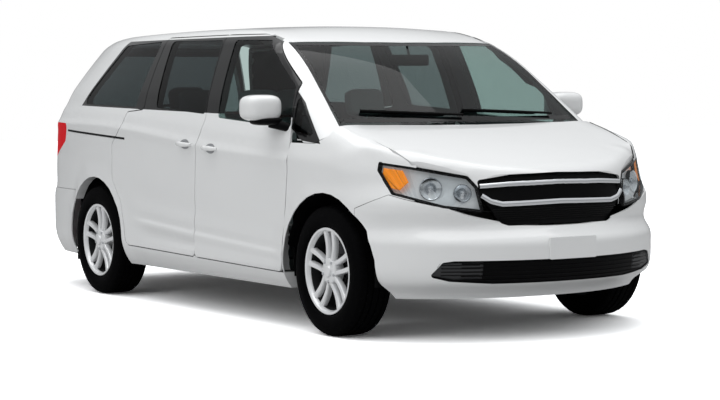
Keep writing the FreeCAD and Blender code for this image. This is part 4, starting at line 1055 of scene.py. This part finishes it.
@dataclass
class Wheel:
    """One wheel: tyre, barrel, lip, hub, spokes, brake disc, centre cap and nuts."""

    corner: str
    body: str
    centre: Point
    side: Side

    def build(self) -> None:
        """Build the rim, the tyre and the wheel's small pieces."""
        s = self.side.value
        x, y, z = self.centre
        face = y + s * (TYRE_HALF_WIDTH - HUB_SETBACK)
        out = (0, s, 0)
        self.tyre()
        self.rim(face)
        cap = [(-0.004, 0.034), (0.004, 0.034), (0.010, 0.030), (0.013, 0.018), (0.014, 0.001)]
        turned("cap_" + self.corner, cap, (x, face, z), out, ALLOY, self.body, 32)
        nut = [(-0.006, 0.0105), (0.002, 0.0105), (0.005, 0.007), (0.005, 0.001)]
        for k in range(5):
            a = 2 * math.pi * (k + 0.5) / 5
            spot = (x + 0.057 * math.sin(a), face, z + 0.057 * math.cos(a))
            turned(f"nut_{self.corner}_{k}", nut, spot, out, CHROME, self.body, 6)

    def tyre(self) -> None:
        """Build the tyre with its grooves and shoulder blocks."""
        half, top, segments = TYRE_HALF_WIDTH, WHEEL_RADIUS - 0.0003, 150
        side = [(half - 0.0265, 0.2305), (half - 0.0265, 0.2400), (half - 0.012, 0.248),
                (half - 0.006, 0.256), (half - 0.0015, 0.272), (half, 0.290), (half - 0.002, 0.305),
                (half - 0.006, 0.318), (half - 0.007, 0.320), (half - 0.013, 0.338), (half - 0.020, 0.3485)]
        tread = [(0.096, 0.3495), (0.088, 0.3555), (0.079, 0.3575), (0.062, 0.3590), (0.0615, 0.3515),
                 (0.052, 0.3515), (0.0515, top), (0.024, top), (0.0235, 0.3515), (0.0145, 0.3515),
                 (0.014, top)]
        outer = [(a, r, False) for a, r in side] + [(a, r, True) for a, r in tread]
        line = outer + [(-a, r, cut) for a, r, cut in reversed(outer)]
        x, y, z = self.centre
        s = self.side.value
        vertices: list[Point] = []
        for a, r, cut in line:
            for k in range(segments):
                turn = 2 * math.pi * (k + 0.35 * (a / half)) / segments
                reach = r - (0.005 if cut and k % 3 == 0 and r > 0.353 and abs(a) > 0.02 else 0.0)
                vertices.append((x + reach * math.sin(turn), y + a * s, z + reach * math.cos(turn)))
        faces = tube_faces(len(line), segments, closed=True)
        piece = new_piece("tyre_shape_" + self.corner, vertices, faces, RUBBER, self.body)
        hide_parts("tyre_" + self.corner)

    def rim(self, face: float) -> None:
        """Build the rim: barrel, five pairs of spokes, hub and brake disc.

        Args:
            face: Place of the hub's face across the car.
        """
        x, _, z = self.centre
        s = self.side.value
        out = (0, s, 0)
        inner = [(-0.012, 0.2245), (-0.10, 0.224), (-0.184, 0.224), (-0.188, 0.236), (-0.196, 0.236),
                 (-0.196, 0.214), (-0.19, 0.212), (-0.06, 0.210), (-0.016, 0.214)]
        # The barrel's dark grey is painted shade behind the spokes
        barrel = turned("rim_barrel_" + self.corner, inner, (x, face, z), out, SHADED_BARREL, self.body, 96)
        lip = [(-0.016, 0.2235), (0.000, 0.2285), (0.001, 0.236), (0.004, 0.2395), (0.008, 0.2395),
               (0.010, 0.236), (0.007, 0.226), (-0.003, 0.2195), (-0.012, 0.2165), (-0.018, 0.2155),
               (-0.016, 0.2235)]
        turned("rim_lip_" + self.corner, lip, (x, face, z), out, ALLOY, self.body, 96)
        hub = [(-0.060, 0.070), (-0.012, 0.072), (-0.004, 0.068), (0.000, 0.060), (0.000, 0.036),
               (-0.004, 0.033), (-0.004, 0.001)]
        turned("rim_hub_" + self.corner, hub, (x, face, z), out, ALLOY, self.body, 64)
        for pair in range(5):
            for hand in (-1, 1):
                self.spoke(face, pair, hand)
        # The disc's dark grey is partly the iron's own and partly painted shade
        disc = [(-0.105, 0.06), (-0.105, 0.150), (-0.083, 0.150), (-0.083, 0.09), (-0.070, 0.088),
                (-0.070, 0.03)]
        turned("brake_disc_" + self.corner, disc, (x, face, z), out, BRAKE_IRON_SHADE, self.body, 64)
        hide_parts("rim_" + self.corner)

    def spoke(self, face: float, pair: int, hand: int) -> None:
        """Build one spoke with a crowned face, wider towards the rim.

        Args:
            face: Place of the hub's face across the car.
            pair: Which pair it belongs to.
            hand: Which of the two, -1 or 1.
        """
        x, _, z = self.centre
        s = self.side.value
        vertices: list[Point] = []
        section = ((-1.0, -0.030), (-1.0, -0.006), (-0.72, 0.0), (0.72, 0.0), (1.0, -0.006), (1.0, -0.030))
        stations, sides = 9, len(section)
        for t in spread(0, 1, stations - 1):
            r = 0.046 + (0.222 - 0.046) * t
            aside = hand * (0.0245 + 0.0165 * t)
            turn = math.radians(72 * pair)
            half = 0.0125 + 0.0045 * t ** 1.5
            dish = -0.011 * math.sin(math.pi * min(1.0, t * 1.02)) - 0.002
            for u, v in section:
                across, deep = aside + u * half, dish + v
                vertices.append((x + r * math.sin(turn) + across * math.cos(turn), face + s * deep,
                                 z + r * math.cos(turn) - across * math.sin(turn)))
        faces = tube_faces(stations, sides)
        faces += [tuple(range(sides)), tuple((stations - 1) * sides + k for k in reversed(range(sides)))]
        tag = f"rim_spoke_{self.corner}_{pair}_{'a' if hand < 0 else 'b'}"
        new_piece(tag, vertices, faces, ALLOY, self.body, angle=50)


@dataclass
class Cushion:
    """A seat cushion or back as a crowned, seamed pad."""

    name: str
    centre: Point
    half: Point
    tilt: float = 0.0
    crown: float = 0.018
    squareness: float = 5.0
    steps: int = 14

    def build(self) -> bpy.types.Object:
        """Build the pad as a soft box that bulges between its seams.

        Returns:
            The pad.
        """
        turn = Matrix.Rotation(self.tilt, 3, "Y")
        thin = min(range(3), key=lambda a: self.half[a])

        def place(u: list[float]) -> Point:
            """Place one point of the pad's skin, crowned across its thin way."""
            power = self.squareness
            size = sum(abs(v) ** power for v in u) ** (1 / power)
            p = Vector([v / size * h for v, h in zip(u, self.half)])
            quilt = max(0.0, math.cos(u[1] * math.pi * 1.5)) * 0.5 + 0.5
            swell = math.prod(1 - u[a] ** 4 for a in range(3) if a != thin)
            p[thin] += math.copysign(self.crown * swell * quilt, u[thin]) if abs(u[thin]) > 0.5 else 0.0
            return tuple(turn @ p + Vector(self.centre))

        vertices, faces = block_skin(self.steps, place)
        pad = new_piece(self.name, vertices, faces, SEAT_CLOTH, "chassis", angle=80)
        return pad


@dataclass
class Seats:
    """All seats as padded pieces over the CAD seats."""

    tilt: float = math.radians(-14)

    def build(self) -> None:
        """Build each seat's cushion, back and headrest."""
        places = [("front_left", 0.30, 0.39, 0.50, 0.48), ("front_right", 0.30, -0.39, 0.50, 0.48),
                  ("middle_left", -0.59, 0.37, 0.48, 0.48), ("middle_right", -0.59, -0.37, 0.48, 0.48),
                  ("rear", -1.48, 0.0, 1.08, 0.50)]
        for name, x, y, width, base in places:
            half = width / 2
            new_box("seat_base_" + name, (x - 0.01, y, (0.332 + base) / 2),
                    (0.20, half - 0.06, (base - 0.33) / 2), DASH_SKIN, "chassis", 0.02)
            Cushion("cushion_" + name, (x - 0.01, y, base + 0.065), (0.262, half, 0.066), 0.0).build()
            lean = Vector((math.sin(self.tilt), 0, math.cos(self.tilt)))
            back = Vector((x - 0.27, y, base + 0.06)) + lean * 0.32
            Cushion("back_" + name, tuple(back), (0.068, half, 0.318), self.tilt).build()
            rest = Vector((x - 0.455, y, base + 0.70)) + lean * 0.085
            pad = Cushion("headrest_" + name, tuple(rest), (0.046, 0.132, 0.086), self.tilt, 0.010).build()
            post = [(-0.16, 0.001), (-0.16, 0.009), (0.02, 0.009), (0.02, 0.001)]
            turned("headrest_post_" + name, post, rest, lean, CHROME, "chassis", 12)
            if name.endswith("left") or name == "rear":
                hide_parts(name.split("_")[0] + "_seats")


@dataclass
class RearTrim:
    """Tailgate bar, blank plate pad, high brake lamp and rear wiper."""

    def build(self, skin: Skin, glass: Skin) -> None:
        """Build the trim on the tailgate.

        Args:
            skin: The tailgate's faces.
            glass: The rear window's faces.
        """
        bar = lifted([skin.back(y, 1.085) for y in spread(-0.36, 0.36, 24)], 0.003)
        swept("tailgate_bar", bar, rounded_section(0.05, 0.018, 0.004), CHROME, "tailgate")
        plate = [(-0.165, 0.90), (0.165, 0.90), (0.165, 1.055), (-0.165, 1.055)]
        # The plate pad takes the same grey, painted shade over the body's white
        patch("rear_plate_pad", plate, skin.back, 0.002, RECESS_SHADE_GREY, "tailgate", 0.03, 0.004)
        wiper = lifted([glass.back(0.02 + 0.40 * k / 16, 1.235 + 0.01 * k / 16) for k in range(17)], 0.012)
        swept("rear_wiper", wiper, rounded_section(0.014, 0.010, 0.010), BLACK_PLASTIC, "tailgate")
        # The high brake lamp takes the red lens with its painted glow
        lamp = lifted([skin.back(y, 1.625) for y in spread(-0.14, 0.14, 12)], 0.001)
        swept("high_brake_lamp", lamp, rounded_section(0.022, 0.006, 0.002), RED_LENS_GLOW, "tailgate")


@dataclass
class Studio:
    """Plain white floor, soft lamps and the camera."""

    camera_place: Point = (11.398979, -6.720995, 1.361817)
    yaw: float = 146.790
    pitch: float = -4.893
    roll: float = -0.400
    focal: float = 2078.192
    middle: Flat = (425.539, 264.770)
    frame_size: Flat = (720.0, 400.0)

    def build(self) -> None:
        """Build the floor, lamps, world and camera."""
        self.floor()
        self.world()
        self.lamps()
        self.camera()

    def seen(self, tree: Tree) -> Socket:
        """Tell the rays that reach the camera straight or through glass from those that only light the car.

        Args:
            tree: The node tree that gets the nodes.

        Returns:
            An output that is 1 for a ray that the camera sees.
        """
        path = add_node(tree, "ShaderNodeLightPath")
        return maths(tree, "MAXIMUM", path.outputs["Is Camera Ray"], path.outputs["Is Transmission Ray"])

    def floor(self) -> None:
        """Lay a white floor that shows as white where nothing shades it."""
        mesh = bpy.data.meshes.new("studio_floor")
        mesh.from_pydata([(-40, -40, 0), (40, -40, 0), (40, 40, 0), (-40, 40, 0)], [], [(0, 1, 2, 3)])
        floor = place_object("studio_floor", mesh)
        material = bpy.data.materials.new("white_studio_floor")
        material.use_nodes = True
        tree = material.node_tree
        tree.nodes.clear()
        base = add_node(tree, "ShaderNodeBsdfDiffuse", {}, {"Color": (2.1, 2.1, 2.1, 1)})
        fill = add_node(tree, "ShaderNodeEmission", {}, {"Color": (1, 1, 1, 1), "Strength": 0.02})
        both = add_node(tree, "ShaderNodeAddShader", {}, {0: base.outputs[0], 1: fill.outputs[0]})
        plain = add_node(tree, "ShaderNodeBsdfDiffuse", {}, {"Color": (0.50, 0.50, 0.50, 1)})
        shown = mixed(tree, self.seen(tree), plain.outputs[0], both.outputs[0])
        add_node(tree, "ShaderNodeOutputMaterial", {}, {"Surface": shown})
        mesh.materials.append(material)

    def world(self) -> None:
        """Light the scene with a soft grey room that the camera sees as white."""
        world = bpy.data.worlds.new("studio_room")
        bpy.context.scene.world = world
        world.use_nodes = True
        tree = world.node_tree
        tree.nodes.clear()
        place = add_node(tree, "ShaderNodeTexCoord")
        height = add_node(tree, "ShaderNodeSeparateXYZ", {}, {0: place.outputs["Generated"]})
        ramp = add_node(tree, "ShaderNodeMapRange", {}, {
            0: height.outputs[2], 1: -0.1, 2: 0.7, 3: 0.20, 4: 0.80})
        room = add_node(tree, "ShaderNodeBackground", {}, {
            "Color": (0.97, 0.985, 1.0, 1), "Strength": ramp.outputs[0]})
        white = add_node(tree, "ShaderNodeBackground", {}, {"Color": (1, 1, 1, 1), "Strength": 1.0})
        shown = mixed(tree, self.seen(tree), room.outputs[0], white.outputs[0])
        add_node(tree, "ShaderNodeOutputWorld", {}, {"Surface": shown})

    def lamps(self) -> None:
        """Hang soft boxes above and beside the car."""
        for name, place, size, power in (("top_box", (0.5, -0.5, 6.0), 7.0, 185.0),
                                         ("front_box", (8.5, 1.5, 4.0), 4.0, 30.0),
                                         ("side_box", (2.0, -8.0, 3.5), 4.0, 100.0)):
            light = bpy.data.lights.new(name, "AREA")
            light.size = size
            light.energy = power
            lamp = place_object(name, light)
            lamp.location = place
            lamp.rotation_euler = (Vector((0.3, 0, 0.6)) - Vector(place)).to_track_quat("-Z", "Y").to_euler()
            lamp.visible_glossy = name == "top_box"

    def camera(self) -> None:
        """Set the camera where the photograph was taken from."""
        yaw, pitch, roll = (math.radians(v) for v in (self.yaw, self.pitch, self.roll))
        ahead = Vector((math.cos(pitch) * math.cos(yaw), math.cos(pitch) * math.sin(yaw), math.sin(pitch)))
        right = ahead.cross(Vector((0, 0, 1))).normalized()
        up = right.cross(ahead)
        side = right * math.cos(roll) + up * math.sin(roll)
        top = up * math.cos(roll) - right * math.sin(roll)
        data = bpy.data.cameras.new("photo_camera")
        camera = place_object("photo_camera", data)
        camera.matrix_world = Matrix.Translation(self.camera_place) @ Matrix(
            (side, top, -ahead)).transposed().to_4x4()
        data.sensor_width = 36.0
        data.lens = self.focal / self.frame_size[0] * 36.0
        data.shift_x = (self.frame_size[0] / 2 - self.middle[0]) / self.frame_size[0]
        data.shift_y = (self.middle[1] - self.frame_size[1] / 2) / self.frame_size[0]
        data.clip_end = 200.0
        bpy.context.scene.camera = camera


def main() -> None:
    logging.basicConfig(level=logging.INFO, format="%(message)s")
    PaintedBody().dress()
    log.info("painted body")
    lamps = Skin(("headlamps",))
    for side in Side:
        Headlamp(side).build(lamps)
        log.info("headlamp %s", side.name)
    FrontTrim().build(Skin(("front_bumper", "grilles", "hood", "headlamps")))
    log.info("front trim")
    for side in Side:
        tag = side.tag
        SideTrim(side).build(Skin(("front_door_" + tag, "sliding_door_" + tag, "side_frame_" + tag)))
        log.info("side trim %s", side.name)
    Cowl().build(Skin(("windscreen",)))
    log.info("cowl")
    Seats().build()
    log.info("seats")
    RearTrim().build(Skin(("tailgate",)), Skin(("tailgate_glass",)))
    log.info("rear trim")
    for (end, x), side in product((("front_", FRONT_AXLE), ("rear_", REAR_AXLE)), Side):
        corner = end + side.tag
        Wheel(corner, "wheel_" + corner, (x, WHEEL_HALF_TRACK * side.value, WHEEL_RADIUS), side).build()
        log.info("wheel %s", corner)
    Studio().build()
    log.info("studio")
    bpy.context.scene.view_settings.view_transform = "Standard"


if __name__ == "__main__":
    main()
